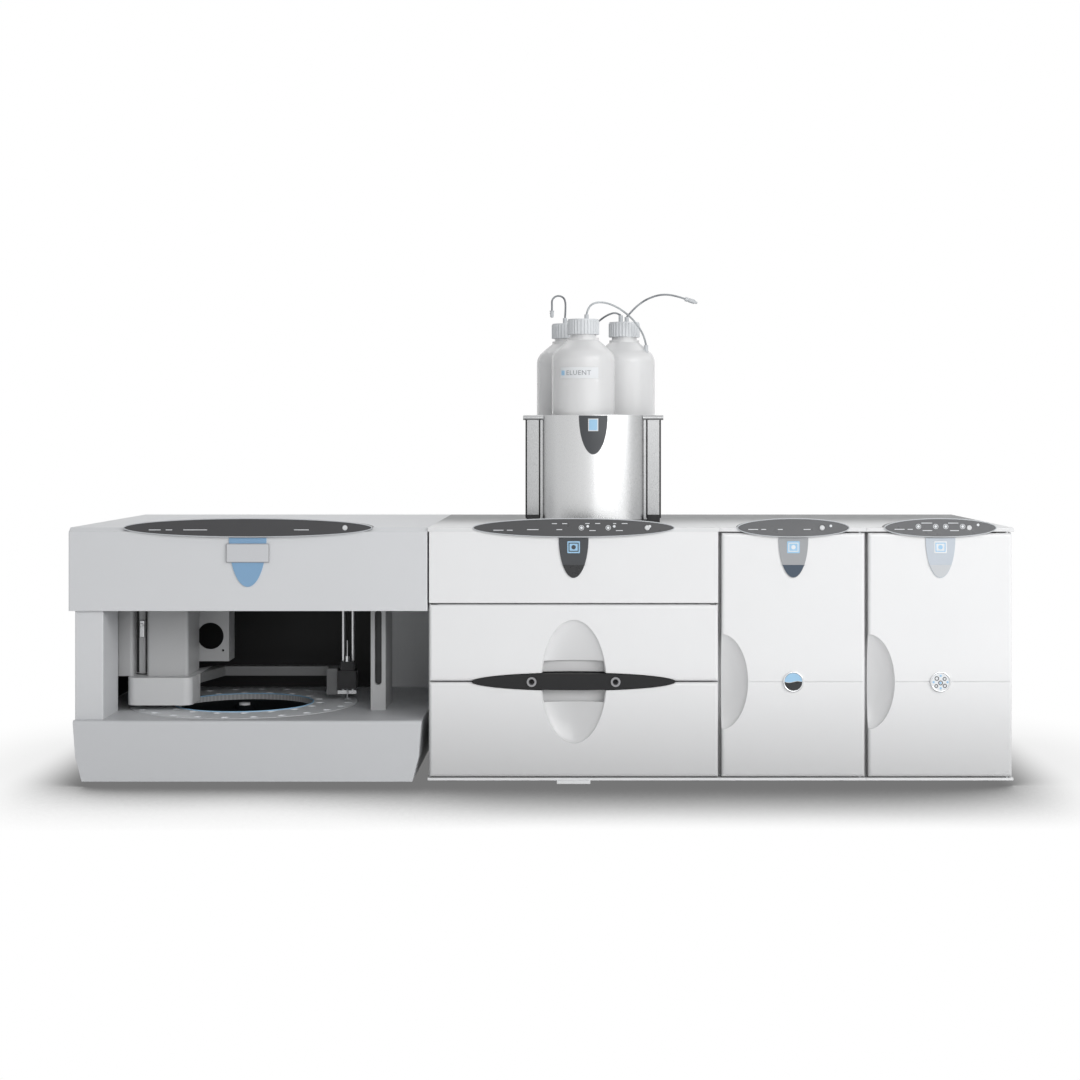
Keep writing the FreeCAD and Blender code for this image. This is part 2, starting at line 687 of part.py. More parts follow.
def make_ports():
    """The two ringed injection ports in the bar, each with its syringe bore."""
    pieces = []
    for side, sign in (("left", "-1"), ("right", "1")):
        at_x = f"({DETECTOR_MIDDLE} + {sign} * port_spacing / 2)"
        ring = rod(f"port_ring_{side}", "port_radius", "port_proud + bar_thickness / 2",
                   (at_x, f"({BAR_FRONT} - port_proud)", "split_height"), "y")
        funnel = document.addObject("Part::Cone", f"port_funnel_{side}")
        funnel.setExpression("Radius1", bound("port_radius * 0.62"))
        funnel.setExpression("Radius2", bound("port_bore"))
        funnel.setExpression("Height", bound("port_proud + 1"))
        funnel.Placement.Rotation = ACROSS_Y
        place(funnel, (at_x, f"({BAR_FRONT} - port_proud)", "split_height"))
        bore = rod(f"port_bore_{side}", "port_bore", "port_proud + bar_thickness / 2 + 1",
                   (at_x, f"({BAR_FRONT} - port_proud)", "split_height"), "y")
        pieces.append(cut(f"port_{side}", ring, [funnel, bore]))
    return fuse("injection_ports", pieces)


def make_valve():
    """The injection valve under the shelf: a round body on the bay's back with six fitting ports."""
    at_x = f"({DETECTOR_MIDDLE} - valve_offset)"
    at_z = "(split_height / 2 + 10)"
    barrel = rod("valve_barrel", "valve_radius", "bay_depth - valve_setback",
                 (at_x, f"({CABINET_FRONT} + valve_setback)", at_z), "y")
    seat = rod("valve_seat", "rotor_radius * 0.3 + seat_gap", "rotor_length + 8",
               (at_x, f"({CABINET_FRONT} + valve_setback - 1)", at_z), "y")
    return cut("injection_valve", barrel, [seat])


def make_rotor():
    """The valve's turning front knob with its short spindle."""
    at_x = f"({DETECTOR_MIDDLE} - valve_offset)"
    at_z = "(split_height / 2 + 10)"
    knob = rod("rotor_disc", "rotor_radius", "rotor_length",
               (at_x, f"({CABINET_FRONT} + valve_setback - rotor_length - seat_gap)", at_z), "y")
    wing = box("rotor_wing", (f"{at_x} - rotor_radius", "2 * rotor_radius"),
               (f"{CABINET_FRONT} + valve_setback - 2 * rotor_length - seat_gap", "rotor_length + 1"),
               (f"{at_z} - 4", "8"))
    spindle = rod("rotor_spindle", "rotor_radius * 0.3", "rotor_length + 6",
                  (at_x, f"({CABINET_FRONT} + valve_setback - seat_gap - 1)", at_z), "y")
    return fuse("valve_rotor", [knob, wing, spindle])


def make_columns():
    """The separation column and its guard, upright in clips on the lower bay's back."""
    pieces = []
    for name, offset, length in (("guard", "guard_offset", "column_length * 0.6"),
                                 ("main", "column_offset", "column_length")):
        at_x = f"({DETECTOR_MIDDLE} + {offset})"
        at_y = f"({CABINET_FRONT} + bay_depth - column_from_back)"
        low = "(foot_height + cabinet_wall + 22)"
        tube = rod(f"column_{name}_tube", "column_radius", length, (at_x, at_y, low))
        nuts = [rod(f"column_{name}_nut_{end}", "column_radius * 0.6", "12", (at_x, at_y, level))
                for end, level in (("low", f"({low} - 11)"), ("high", f"({low} + {length} - 1)"))]
        clip = box(f"column_{name}_clip", (f"{at_x} - column_radius - 2", "2 * column_radius + 4"),
                   (at_y, "column_from_back"), (f"{low} + {length} / 2 - 6", "12"))
        pieces.append(fuse(f"column_{name}", [tube, clip] + nuts))
    return fuse("separation_columns", pieces)


def make_cell():
    """The conductivity cell's box on the shelf of the upper bay, with two fittings on its face."""
    low_x = f"({DETECTOR_MIDDLE} - cell_offset)"
    front = f"({CABINET_FRONT} + bay_depth - cell_depth)"
    case = box("cell_case", (low_x, "cell_width"), (front, "cell_depth"),
               ("split_height + shelf_thickness / 2", "cell_height"))
    fittings = [rod(f"cell_fitting_{number}", "6", "15",
                    (f"({low_x} + cell_width * {share})", f"({front} - 14)",
                     "(split_height + cell_height / 2)"), "y")
                for number, share in enumerate(("0.3", "0.7"))]
    return fuse("conductivity_cell", [case] + fittings)


def make_suppressor():
    """The flat suppressor block beside the cell."""
    low_x = f"({DETECTOR_MIDDLE} + suppressor_offset)"
    back = f"({CABINET_FRONT} + bay_depth)"
    middle_z = "(split_height + shelf_thickness / 2 + suppressor_height / 2)"
    block = box("suppressor_block", (low_x, "suppressor_width"),
                (f"{back} - suppressor_depth", "suppressor_depth"),
                ("split_height + shelf_thickness / 2", "suppressor_height"))
    ends = [rod(f"suppressor_end_{number}", "5", "13",
                (f"({low_x} + suppressor_width * {share})", f"({back} - suppressor_depth - 12)", middle_z),
                "y")
            for number, share in enumerate(("0.12", "0.38", "0.62", "0.88"))]
    return fuse("suppressor", [block] + ends)


def make_drain_tab():
    """The small drip spout under the middle of the lower door."""
    return box("drain_tab", (f"{DETECTOR_MIDDLE} - drain_tab_width / 2", "drain_tab_width"),
               (f"{DOOR_FRONT} + 1", "drain_tab_depth"),
               ("foot_height - drain_tab_thickness", "drain_tab_thickness"))


# The pump and generator modules
PUMP_MIDDLE = f"({PUMP_LEFT} + pump_width / 2)"
GENERATOR_MIDDLE = f"({GENERATOR_LEFT} + generator_width / 2)"
TALL_BAY = [("foot_height + cabinet_wall", "module_height - foot_height - 2 * cabinet_wall - brow_height")]
PUMP_WALL = f"({CABINET_FRONT} + pump_bay_depth)"
PUMP_LEVELS = (("upper", "(module_height * 0.66)"), ("lower", "(module_height * 0.27)"))


def make_pump_heads():
    """Two pumps of two heads each: round heads with a check valve nut above and below."""
    heads = []
    for level, at_z in PUMP_LEVELS:
        for side, sign in (("left", "-1"), ("right", "1")):
            at_x = f"({PUMP_MIDDLE} + {sign} * head_spacing / 2)"
            name = f"{level}_{side}"
            head = rod(f"head_{name}", "head_radius", "head_length",
                       (at_x, f"({PUMP_WALL} - head_length)", at_z), "y")
            nuts = [rod(f"head_nut_{name}_{end}", "head_radius * 0.3", "head_radius * 0.5 + 6",
                        (at_x, f"({PUMP_WALL} - head_length * 0.7)", low))
                    for end, low in (("low", f"({at_z} - head_radius * 1.2 - 6)"),
                                     ("high", f"({at_z} + head_radius * 0.7)"))]
            heads.append(fuse(f"pump_head_{name}", [head] + nuts))
    return fuse("pump_heads", heads)


def make_manifolds():
    """The pressure block of each pump, between its heads, which carries the priming knob."""
    blocks = []
    for level, at_z in PUMP_LEVELS:
        block = box(f"manifold_block_{level}",
                    (f"({PUMP_MIDDLE} - head_radius * 0.62)", "head_radius * 1.24"),
                    (f"{PUMP_WALL} - head_length * 0.6", "head_length * 0.6"),
                    (f"{at_z} - head_radius * 0.8 - manifold_drop", "head_radius * 1.6"))
        bore = rod(f"manifold_bore_{level}", "pin_radius + pin_play", "knob_length",
                   (PUMP_MIDDLE, f"({PUMP_WALL} - head_length * 0.6)", f"({at_z} - manifold_drop)"), "y")
        blocks.append(cut(f"manifold_{level}", block, [bore]))
    return fuse("pump_manifolds", blocks)


def make_prime_knob(level, at_z):
    """A fluted priming knob on a short stem."""
    front = f"({PUMP_WALL} - head_length * 0.6 - seat_gap - knob_length)"
    at = (PUMP_MIDDLE, front, f"({at_z} - manifold_drop)")
    grip = rod(f"prime_grip_{level}", "knob_radius", "knob_length", at, "y")
    stem = rod(f"prime_stem_{level}", "pin_radius", "knob_length * 1.6", at, "y")
    flutes = []
    for number in range(8):
        turn = 2 * math.pi * number / 8
        flutes.append(rod(f"prime_flute_{level}_{number}", "knob_radius * 0.16", "knob_length + 2",
                          (f"({at[0]} + knob_radius * {math.cos(turn):.5f})", f"({front} - 1)",
                           f"({at[2]} + knob_radius * {math.sin(turn):.5f})"), "y"))
    return fuse(f"prime_knob_{level}", [cut(f"prime_fluted_{level}", grip, flutes), stem])


def make_cartridge():
    """The upright eluent cartridge in the generator's bay, on two saddles from the bay's back."""
    back = f"({CABINET_FRONT} + generator_bay_depth)"
    at_y = f"({back} - cartridge_radius - 8)"
    low = "(foot_height + cabinet_wall + cartridge_rise)"
    can = rod("cartridge_can", "cartridge_radius", "cartridge_length", (GENERATOR_MIDDLE, at_y, low))
    lid = rod("cartridge_lid", "cartridge_radius * 0.72", "14",
              (GENERATOR_MIDDLE, at_y, f"({low} + cartridge_length - 1)"))
    ports = [rod(f"cartridge_port_{number}", "4", "12",
                 (f"({GENERATOR_MIDDLE} + {offset})", at_y, f"({low} - 11)"))
             for number, offset in enumerate(("-12", "12"))]
    saddles = [box(f"cartridge_saddle_{number}",
                   (f"({GENERATOR_MIDDLE} - cartridge_radius * 0.7)", "cartridge_radius * 1.4"),
                   (at_y, f"({back} - {at_y})"), (f"({low} + cartridge_length * {share})", "10"))
               for number, share in enumerate(("0.15", "0.8"))]
    return fuse("eluent_cartridge", [can, lid] + ports + saddles)


def make_pins():
    """All hinge pins: two upright in each tall door, two across each detector door."""
    pins = cross_pins("cross_pin", "pin_radius", PIN_LENGTH)
    for name, left, width in (("pump", PUMP_LEFT, "pump_width"),
                              ("generator", GENERATOR_LEFT, "generator_width")):
        pin_x = f"({left} + {width} - door_side_gap - pin_inset)"
        pins.append(rod(f"{name}_high_pin", "pin_radius", "pin_reach + door_line - seat_gap",
                        (pin_x, PIN_Y, f"({DOOR_TOP} - pin_reach + seat_gap)")))
        pins.append(rod(f"{name}_low_pin", "pin_radius", "pin_reach + door_line - seat_gap - 1",
                        (pin_x, PIN_Y, "(foot_height + sill_height)")))
    return fuse("hinge_pins", pins)


def make_feet():
    """The rubber feet, four under each module and four under the organizer."""
    feet = []
    for name, left, width in (("sampler", f"({SAMPLER_LEFT} + base_inset + base_taper)",
                               "(sampler_width - 2 * base_inset - 2 * base_taper)"),
                              ("detector", DETECTOR_LEFT, "detector_width"),
                              ("pump", PUMP_LEFT, "pump_width"),
                              ("generator", GENERATOR_LEFT, "generator_width")):
        for side, at_x in (("left", f"({left} + foot_inset)"), ("right", f"({left} + {width} - foot_inset)")):
            for end, at_y in (("front", f"({CABINET_FRONT} + foot_inset)"),
                              ("rear", f"({BACK} - foot_inset)")):
                feet.append(rod(f"foot_{name}_{side}_{end}", "foot_radius", "foot_height", (at_x, at_y, "0")))
    for side, at_x in (("left", f"({DETECTOR_LEFT} + organizer_from_left + foot_radius)"),
                       ("right", f"({DETECTOR_LEFT} + organizer_from_left + organizer_width - foot_radius)")):
        for end, at_y in (("front", f"({FRONT} + organizer_setback + shell_bulge + foot_radius)"),
                          ("rear", f"({FRONT} + organizer_setback + organizer_depth - foot_radius)")):
            feet.append(rod(f"foot_organizer_{side}_{end}", "foot_radius * 0.6", "organizer_foot",
                            (at_x, at_y, "module_height")))
    return fuse("rubber_feet", feet)


# The autosampler
SAMPLER_MIDDLE = f"({SAMPLER_LEFT} + sampler_width / 2)"
BASE_LEFT = f"({SAMPLER_LEFT} + base_inset)"
BASE_RIGHT = f"({SAMPLER_LEFT} + sampler_width - base_inset)"
CAROUSEL_X = f"({SAMPLER_LEFT} + carousel_from_left)"
CAROUSEL_Y = f"({FRONT} + carousel_setback)"
HOOD_CEILING = "(module_height - hood_wall)"
PLATE_X = f"({SAMPLER_LEFT} + sampler_width - side_plate_from_right - side_plate_width)"
PLATE_Y = f"({FRONT} + side_plate_setback)"
HEAD_X = f"({CAROUSEL_X} + needle_from_hub)"
HEAD_Y = f"({CAROUSEL_Y} + needle_behind_hub)"


def make_base():
    """The sampler's base, drawn in towards the bench, with the carousel's round well in its deck."""
    tub = front_prism("base_tub", FRONT, "module_depth", [
        (f"{BASE_LEFT} + base_taper", "foot_height"), (f"{BASE_RIGHT} - base_taper", "foot_height"),
        (f"{BASE_RIGHT} - base_taper * 0.3", "base_height * 0.45"), (BASE_RIGHT, "base_height"),
        (BASE_LEFT, "base_height"),
        (f"{BASE_LEFT} + base_taper * 0.3", "base_height * 0.45")])
    front = -sheet.get("module_depth") / 2
    top = sheet.get("base_height")
    form = rounded("base_form", tub, "door_edge_radius",
                   lambda middle, direction: abs(middle.y - front) < 0.01 and abs(middle.z - top) < 0.01)
    well = rod("carousel_well", "carousel_radius + carousel_play", "carousel_thickness + 2",
               (CAROUSEL_X, CAROUSEL_Y, "base_height - carousel_thickness"))
    hollow = box("base_hollow", (f"{BASE_LEFT} + base_taper + cabinet_wall",
                                 f"({BASE_RIGHT} - {BASE_LEFT} - 2 * base_taper - 2 * cabinet_wall)"),
                 (f"{FRONT} + cabinet_wall", "module_depth - 2 * cabinet_wall"),
                 ("foot_height + cabinet_wall",
                  "base_height - foot_height - carousel_thickness - 3 * cabinet_wall"))
    tray = cut("base_tray", form, [well, hollow])
    spindle = rod("carousel_spindle", "spindle_radius", "carousel_thickness + cabinet_wall",
                  (CAROUSEL_X, CAROUSEL_Y, "base_height - carousel_thickness - cabinet_wall"))
    return fuse("sampler_base", [tray, spindle])


def make_carousel():
    """The vial carousel: a ring deck on a thin web and a hub, with two circles of blind vial wells."""
    owner = new_body("vial_carousel")
    place(owner, (CAROUSEL_X, CAROUSEL_Y, "(base_height - carousel_thickness + seat_gap)"))
    profile = new_sketch(owner, "XZ_Plane")
    bore = "(spindle_radius + pin_play)"
    draw_outline(profile, [
        (bore, "0"), ("carousel_radius", "0"), ("carousel_radius", "carousel_thickness"),
        ("carousel_bore", "carousel_thickness"), ("carousel_bore", "2.5"),
        (f"{bore} + 7", "2.5"), (f"{bore} + 7", "carousel_thickness * 0.7"),
        (bore, "carousel_thickness * 0.7")])
    revolve(owner, profile)
    rings = (("outer", "(needle_from_hub ^ 2 + needle_behind_hub ^ 2) ^ 0.5"),
             ("inner", "(carousel_bore + vial_radius + 6)"))
    for name, ring in rings:
        mouth = new_sketch(owner, "XY_Plane", "carousel_thickness")
        draw_circle(mouth, ring, "0", "vial_radius")
        wells = owner.newObject("PartDesign::Pocket", f"vial_wells_{name}")
        wells.Profile = mouth
        wells.setExpression("Length", bound("vial_depth"))
        document.recompute()
        round_them = owner.newObject("PartDesign::PolarPattern", f"vial_circle_{name}")
        round_them.Originals = [wells]
        axis = [item for item in owner.Origin.OriginFeatures if item.Role == "Z_Axis"][0]
        round_them.Axis = (axis, [""])
        round_them.Angle = 360
        round_them.Occurrences = round(COUNTS[f"vials_{name}"])
        owner.Tip = round_them
    return owner


def make_left_column():
    block = box("left_column_block", (BASE_LEFT, "column_width"), (f"{DOOR_FRONT} + 6", "column_depth"),
                ("base_height", "hood_bottom - base_height"))
    return rounded("left_column", block, "door_line", lambda middle, direction: abs(direction.z) > 0.9)


def make_side_plate():
    """The narrow right upright with its long round-ended slot."""
    block = box("side_plate_block", (PLATE_X, "side_plate_width"), (PLATE_Y, "side_plate_depth"),
                ("base_height", "hood_bottom - base_height"))
    middle = f"({PLATE_X} + side_plate_width / 2)"
    low, high = "(base_height + 46)", "(hood_bottom - 14)"
    slot = box("side_slot", (f"{middle} - 5.5", "11"), (f"{PLATE_Y} - 1", "9"), (low, f"({high} - {low})"))
    ends = [rod(f"side_slot_{name}", "5.5", "9", (middle, f"{PLATE_Y} - 1", level), "y")
            for name, level in (("low", low), ("high", high))]
    return cut("side_plate", block, [slot] + ends)


def make_back_panel():
    return box("back_panel", (BASE_LEFT, f"({BASE_RIGHT} - {BASE_LEFT})"), ("chamber_back - 3", "3"),
               ("base_height", f"({HOOD_CEILING} - base_height)"))


def make_rear_housing():
    """The electronics box behind the sample chamber."""
    return box("rear_housing", (BASE_LEFT, f"({BASE_RIGHT} - {BASE_LEFT})"),
               ("chamber_back", f"({BACK} - hood_wall - chamber_back)"),
               ("base_height", f"({HOOD_CEILING} - base_height)"))


def make_hood():
    """The top cover, open below, its front edge falling away under the pod."""
    slope = "hood_front_slope"
    outer = side_prism("hood_outer", SAMPLER_LEFT, "sampler_width", [
        (DOOR_FRONT, "hood_bottom"), (DOOR_FRONT, f"module_height - {slope} * 0.6"),
        (f"{DOOR_FRONT} + {slope}", "module_height"), (BACK, "module_height"), (BACK, "hood_bottom")])
    low = sheet.get("hood_bottom") + 1
    form = rounded("hood_form", outer, "door_line",
                   lambda middle, direction: abs(direction.x) < 0.1 and middle.z > low and middle.y < 0)
    inner = side_prism("hood_inner", f"({SAMPLER_LEFT} + hood_wall)", "(sampler_width - 2 * hood_wall)", [
        (f"{DOOR_FRONT} + hood_wall", "hood_bottom - 1"),
        (f"{DOOR_FRONT} + hood_wall", f"{HOOD_CEILING} - {slope} * 0.6"),
        (f"{DOOR_FRONT} + hood_wall + {slope}", HOOD_CEILING), (f"{BACK} - hood_wall", HOOD_CEILING),
        (f"{BACK} - hood_wall", "hood_bottom - 1")])
    pod_room = pod_cutter("hood_pod_room", SAMPLER_MIDDLE, "sampler_pod_width", "0")
    return cut("sampler_hood", form, [inner, pod_room])


def make_arm_housing():
    """The twin upright drive housing hung from the hood, its two round cornered halves parted by a slot."""
    left = f"({SAMPLER_LEFT} + drive_from_left)"
    slot = f"({left} + drive_narrow_width)"
    front = f"({FRONT} + drive_setback)"
    low = "(base_height + drive_rise)"
    tall = f"({HOOD_CEILING} - {low})"
    narrow = box("drive_narrow", (left, "drive_narrow_width"), (front, "drive_depth"), (low, tall))
    wide = box("drive_wide", (f"{left} + drive_wide_offset", "drive_wide_width"), (front, "drive_depth"),
               (low, tall))
    upright = lambda middle, direction: abs(direction.z) > 0.9
    web = box("drive_web", (f"{slot} - 7", "40"), (f"{front} + 26", "60"), (f"{low} + 2", f"({tall} - 2)"))
    rail = box("drive_rail", (f"{slot} + 6", "10"), (f"{front} + 18", "10"), (f"{low} + 2", f"({tall} - 2)"))
    return fuse("drive_housing", [rounded("drive_narrow_form", narrow, "door_edge_radius", upright),
                                  rounded("drive_wide_form", wide, "door_edge_radius", upright), web, rail])


def make_bracket_plate():
    """The folded plate with a round window beside the drive housing."""
    left = f"({SAMPLER_LEFT} + bracket_from_left)"
    face = f"({FRONT} + bracket_setback)"
    low = "(base_height + bracket_rise)"
    height = (low, f"({HOOD_CEILING} - {low})")
    plate = box("bracket_sheet", (left, "bracket_width"), (face, "bracket_thickness"), height)
    flange = box("bracket_flange", (f"{left} + bracket_width - bracket_thickness", "bracket_thickness"),
                 (face, "bracket_flange_depth"), height)
    window = rod("bracket_window", "bracket_window_radius", "bracket_thickness + 2",
                 (f"({left} + bracket_width / 2 - 1)", f"({face} - 1)", f"({low} + bracket_window_rise)"),
                 "y")
    holes = [rod(f"bracket_hole_{number}", "screw_radius", "bracket_thickness + 2",
                 (f"({left} + {across})", f"({face} - 1)", f"({low} + {up})"), "y")
             for number, (across, up) in enumerate((("bracket_hole_left", "bracket_hole_high"),
                                                    ("bracket_hole_right", "bracket_hole_low")))]
    return cut("bracket_plate", fuse("bracket_form", [plate, flange]), [window] + holes)


def make_arm():
    """The sampler's arm: a foot under the drive housing and a beam round to the needle's bracket."""
    left = f"({SAMPLER_LEFT} + arm_from_left)"
    near = f"({FRONT} + arm_setback)"
    beam_front, beam_back = f"({HEAD_Y} + 24)", f"({HEAD_Y} + 44)"
    low, high = "(base_height + arm_rise)", "(base_height + drive_rise)"
    foot = box("arm_foot", (left, "arm_foot_width"), (near, "arm_foot_depth"), (low, f"({high} - {low})"))
    foot_form = rounded("arm_foot_form", foot, "foot_radius",
                        lambda middle, direction: abs(direction.z) > 0.9)
    owner = new_body("arm_beam")
    plan = new_sketch(owner, "XY_Plane", f"({high} - beam_thickness)")
    end = f"({HEAD_X} - 34)"
    draw_outline(plan, [
        (f"{left} + 60", f"{near} + 40"), (f"{left} + 96", f"{near} + 24"), (f"{left} + 128", beam_front),
        (end, beam_front), (end, beam_back), (f"{left} + 110", beam_back), (f"{left} + 60", f"{near} + 78")])
    pad(owner, plan, "beam_thickness - 0.5")
    bracket = box("arm_bracket", (f"{end} - 1", "18"), (f"{HEAD_Y} - 6", f"({beam_back} - {HEAD_Y} + 6)"),
                  (low, f"({high} - {low} - 0.5)"))
    return fuse("sampler_arm", [foot_form, owner, bracket])


RODS_X = (("left", f"({HEAD_X} - rod_offset)"), ("right", f"({HEAD_X} + rod_offset)"))
NEEDLE_Y = f"({HEAD_Y} - needle_before_rods)"


def make_rods():
    """The two guide rods of the needle head, hung from the hood, with a foot plate on the arm's bracket."""
    rods = [rod(f"guide_rod_{name}", "rod_radius", f"({HOOD_CEILING} - base_height - rods_above_base)",
                (at_x, HEAD_Y, "(base_height + rods_above_base)")) for name, at_x in RODS_X]
    bridge = box("guide_foot", (f"{HEAD_X} - guide_foot_left", "guide_foot_width"),
                 (f"{HEAD_Y} - guide_foot_depth / 2", "guide_foot_depth"),
                 ("base_height + guide_foot_rise", "guide_foot_thickness"))
    return fuse("guide_rods", rods + [bridge])


def make_head():
    """The needle head that rides up and down the rods."""
    low = "(base_height + 20)"
    block = box("head_block", (f"{HEAD_X} - head_block_side / 2", "head_block_side"),
                (f"{HEAD_Y} - 17", "head_block_side"), (low, "head_block_side"))
    collar = box("head_collar", (f"{HEAD_X} - 11", "22"), (f"{HEAD_Y} - 14", "24"),
                 (f"{low} + head_block_side - 1", "16"))
    bores = [rod(f"head_bore_{name}", "rod_radius + pin_play", "60", (at_x, HEAD_Y, f"({low} - 5)"))
             for name, at_x in RODS_X]
    needle_bore = rod("head_needle_bore", "needle_radius", "60", (HEAD_X, NEEDLE_Y, f"({low} - 5)"))
    return cut("needle_head", fuse("head_form", [block, collar]), bores + [needle_bore])


def make_needle():
    """The steel needle through the head, with its fitting nut on top."""
    tube = rod("needle_tube", "needle_radius", "needle_length", (HEAD_X, NEEDLE_Y, "(base_height + 4)"))
    nut = rod("needle_nut", "4", "9", (HEAD_X, NEEDLE_Y, "(base_height + 65)"))
    return fuse("needle", [tube, nut])


# The eluent organizer on the detector, with its bottles, caps and tubes
ORGANIZER_LEFT = f"({DETECTOR_LEFT} + organizer_from_left)"
ORGANIZER_FRONT = f"({FRONT} + organizer_setback)"
ORGANIZER_BACK = f"({ORGANIZER_FRONT} + organizer_depth)"
ORGANIZER_FLOOR = "(module_height + organizer_foot)"
ORGANIZER_TOP = "(module_height + organizer_height)"
SHELL_X = f"({ORGANIZER_LEFT} + organizer_width / 2)"
SHELL_Y = f"({ORGANIZER_FRONT} + shell_radius)"
WING_Y = f"({ORGANIZER_FRONT} + shell_bulge)"
BOTTLE_Z = f"({ORGANIZER_FLOOR} + floor_thickness)"
BOTTLE_SHOULDER = "(bottle_body + shoulder_rise)"
BOTTLE_HEIGHT = "(bottle_body + shoulder_rise + neck_height)"
CAP_TOP = f"({BOTTLE_Z} + {BOTTLE_HEIGHT} + cap_wall)"
TUBES_AT = (SHELL_X, SHELL_Y, CAP_TOP)
BOTTLE_SPOTS = (
    ("front", f"({SHELL_X} - front_bottle_left)",
     f"({ORGANIZER_FRONT} + bottle_radius + organizer_wall + bottle_clearance)"),
    ("right", f"({SHELL_X} + right_bottle_right)", f"({ORGANIZER_FRONT} + organizer_depth * 0.575)"),
    ("left", f"({SHELL_X} - left_bottle_left)",
     f"({ORGANIZER_BACK} - bottle_radius - organizer_wall - bottle_clearance)"),
)


def front_part(label, radius, low, height):
    """The part of an upright disc or drum that stands before the organizer's wings."""
    drum = rod(label + "_drum", radius, height, (SHELL_X, SHELL_Y, low))
    room = box(label + "_room", (f"({SHELL_X} - shell_radius)", "2 * shell_radius"),
               (f"{ORGANIZER_FRONT} - 1", "shell_bulge + organizer_wall + 3"), (low, height))
    return common(label, [drum, room])


def make_organizer():
    """The polished bottle organizer: a bowed front between two wings, side walls falling to a low back."""
    tall = f"({ORGANIZER_TOP} - {ORGANIZER_FLOOR})"
    drum = front_part("organizer_bow", "shell_radius", ORGANIZER_FLOOR, tall)
    hollow = rod("organizer_bow_hollow", "shell_radius - organizer_wall", tall, (SHELL_X, SHELL_Y, BOTTLE_Z))
    bow = cut("organizer_front", drum, [hollow])
    floor = box("organizer_floor", (ORGANIZER_LEFT, "organizer_width"),
                (WING_Y, f"({ORGANIZER_BACK} - {WING_Y})"), (ORGANIZER_FLOOR, "floor_thickness"))
    back = box("organizer_rear", (ORGANIZER_LEFT, "organizer_width"),
               (f"{ORGANIZER_BACK} - organizer_wall", "organizer_wall"),
               (ORGANIZER_FLOOR, "rear_wall_height"))
    walls = [floor, back, bow]
    right = f"({ORGANIZER_LEFT} + organizer_width)"
    for side, low_x, wing_x in (("left", ORGANIZER_LEFT, ORGANIZER_LEFT),
                                ("right", f"({right} - organizer_wall)", f"({right} - wing_width)")):
        walls.append(side_prism(f"organizer_{side}", low_x, "organizer_wall", [
            (WING_Y, ORGANIZER_FLOOR), (ORGANIZER_BACK, ORGANIZER_FLOOR),
            (ORGANIZER_BACK, f"{ORGANIZER_FLOOR} + rear_wall_height"),
            (f"{WING_Y} + wing_depth", ORGANIZER_TOP), (WING_Y, ORGANIZER_TOP)]))
        walls.append(box(f"wing_{side}", (wing_x, "wing_width"), (WING_Y, "organizer_wall"),
                         (ORGANIZER_FLOOR, tall)))
        lip_x = f"({wing_x} - lip_reach)" if side == "left" else wing_x
        walls.append(rod(f"wing_lip_{side}", "organizer_wall", "wing_width + lip_reach",
                         (lip_x, f"({WING_Y} + 1)", f"({ORGANIZER_TOP} - organizer_wall)"), "x"))
    return fuse("eluent_organizer", walls)


def make_organizer_shield():
    """The tongue on the bowed front, bent to its curve."""
    width, height = "shield_width", "shield_height"
    top = f"({ORGANIZER_TOP} - 1)"
    prism = oval_prism("bow_shield_oval", SHELL_X, width, f"2 * {height}", f"({ORGANIZER_FRONT} - 4)", "16",
                       top, tall=True)
    outer = rod("bow_shield_skin", "shell_radius + shield_thickness", height,
                (SHELL_X, SHELL_Y, f"({top} - {height})"))
    sheet_form = common("bow_shield_form", [prism, outer])
    inner = rod("bow_shield_inside", "shell_radius", f"{height} + 2",
                (SHELL_X, SHELL_Y, f"({top} - {height} - 1)"))
    return cut("organizer_shield", sheet_form, [inner])


def rims_rounded(label, base, rims):
    """The base with its full round edges filleted, each rim being a radius, a height and a fillet."""
    document.recompute()
    piece = document.addObject("Part::Fillet", label)
    piece.Base = base
    edges = []
    for number, edge in enumerate(base.Shape.Edges, start=1):
        if edge.Curve.TypeId != "Part::GeomCircle":
            continue
        for radius, height, fillet in rims:
            if abs(edge.Curve.Radius - radius) < 0.01 and abs(edge.Curve.Center.z - height) < 0.01:
                edges.append((number, fillet, fillet))
    piece.Edges = edges
    return piece


def copies(label, piece, spots, low):
    """One separate solid at each spot, all of the same form."""
    links = []
    for name, at_x, at_y in spots:
        link = document.addObject("App::Link", f"{label}_{name}")
        link.LinkedObject = piece
        place(link, (at_x, at_y, low))
        links.append(link)
    return fuse(label, links)


def turned_with_rims(label, corners, rims):
    """A solid turned from a closed outline, its rims filleted."""
    owner = new_body(label + "_turned")
    profile = new_sketch(owner, "XZ_Plane")
    draw_outline(profile, corners)
    revolve(owner, profile)
    return rims_rounded(label, owner, rims)


def make_bottle_outside():
    radius, body = sheet.get("bottle_radius"), sheet.get("bottle_body")
    return turned_with_rims("bottle_outside", [
        ("0", "0"), ("bottle_radius", "0"), ("bottle_radius", "bottle_body"),
        ("neck_radius + neck_step", BOTTLE_SHOULDER),
        ("neck_radius + neck_step", f"{BOTTLE_SHOULDER} + neck_step"),
        ("neck_radius", f"{BOTTLE_SHOULDER} + neck_step"),
        ("neck_radius", BOTTLE_HEIGHT), ("0", BOTTLE_HEIGHT),
    ], [(radius, 0, sheet.get("base_round")), (radius, body, sheet.get("shoulder_round"))])


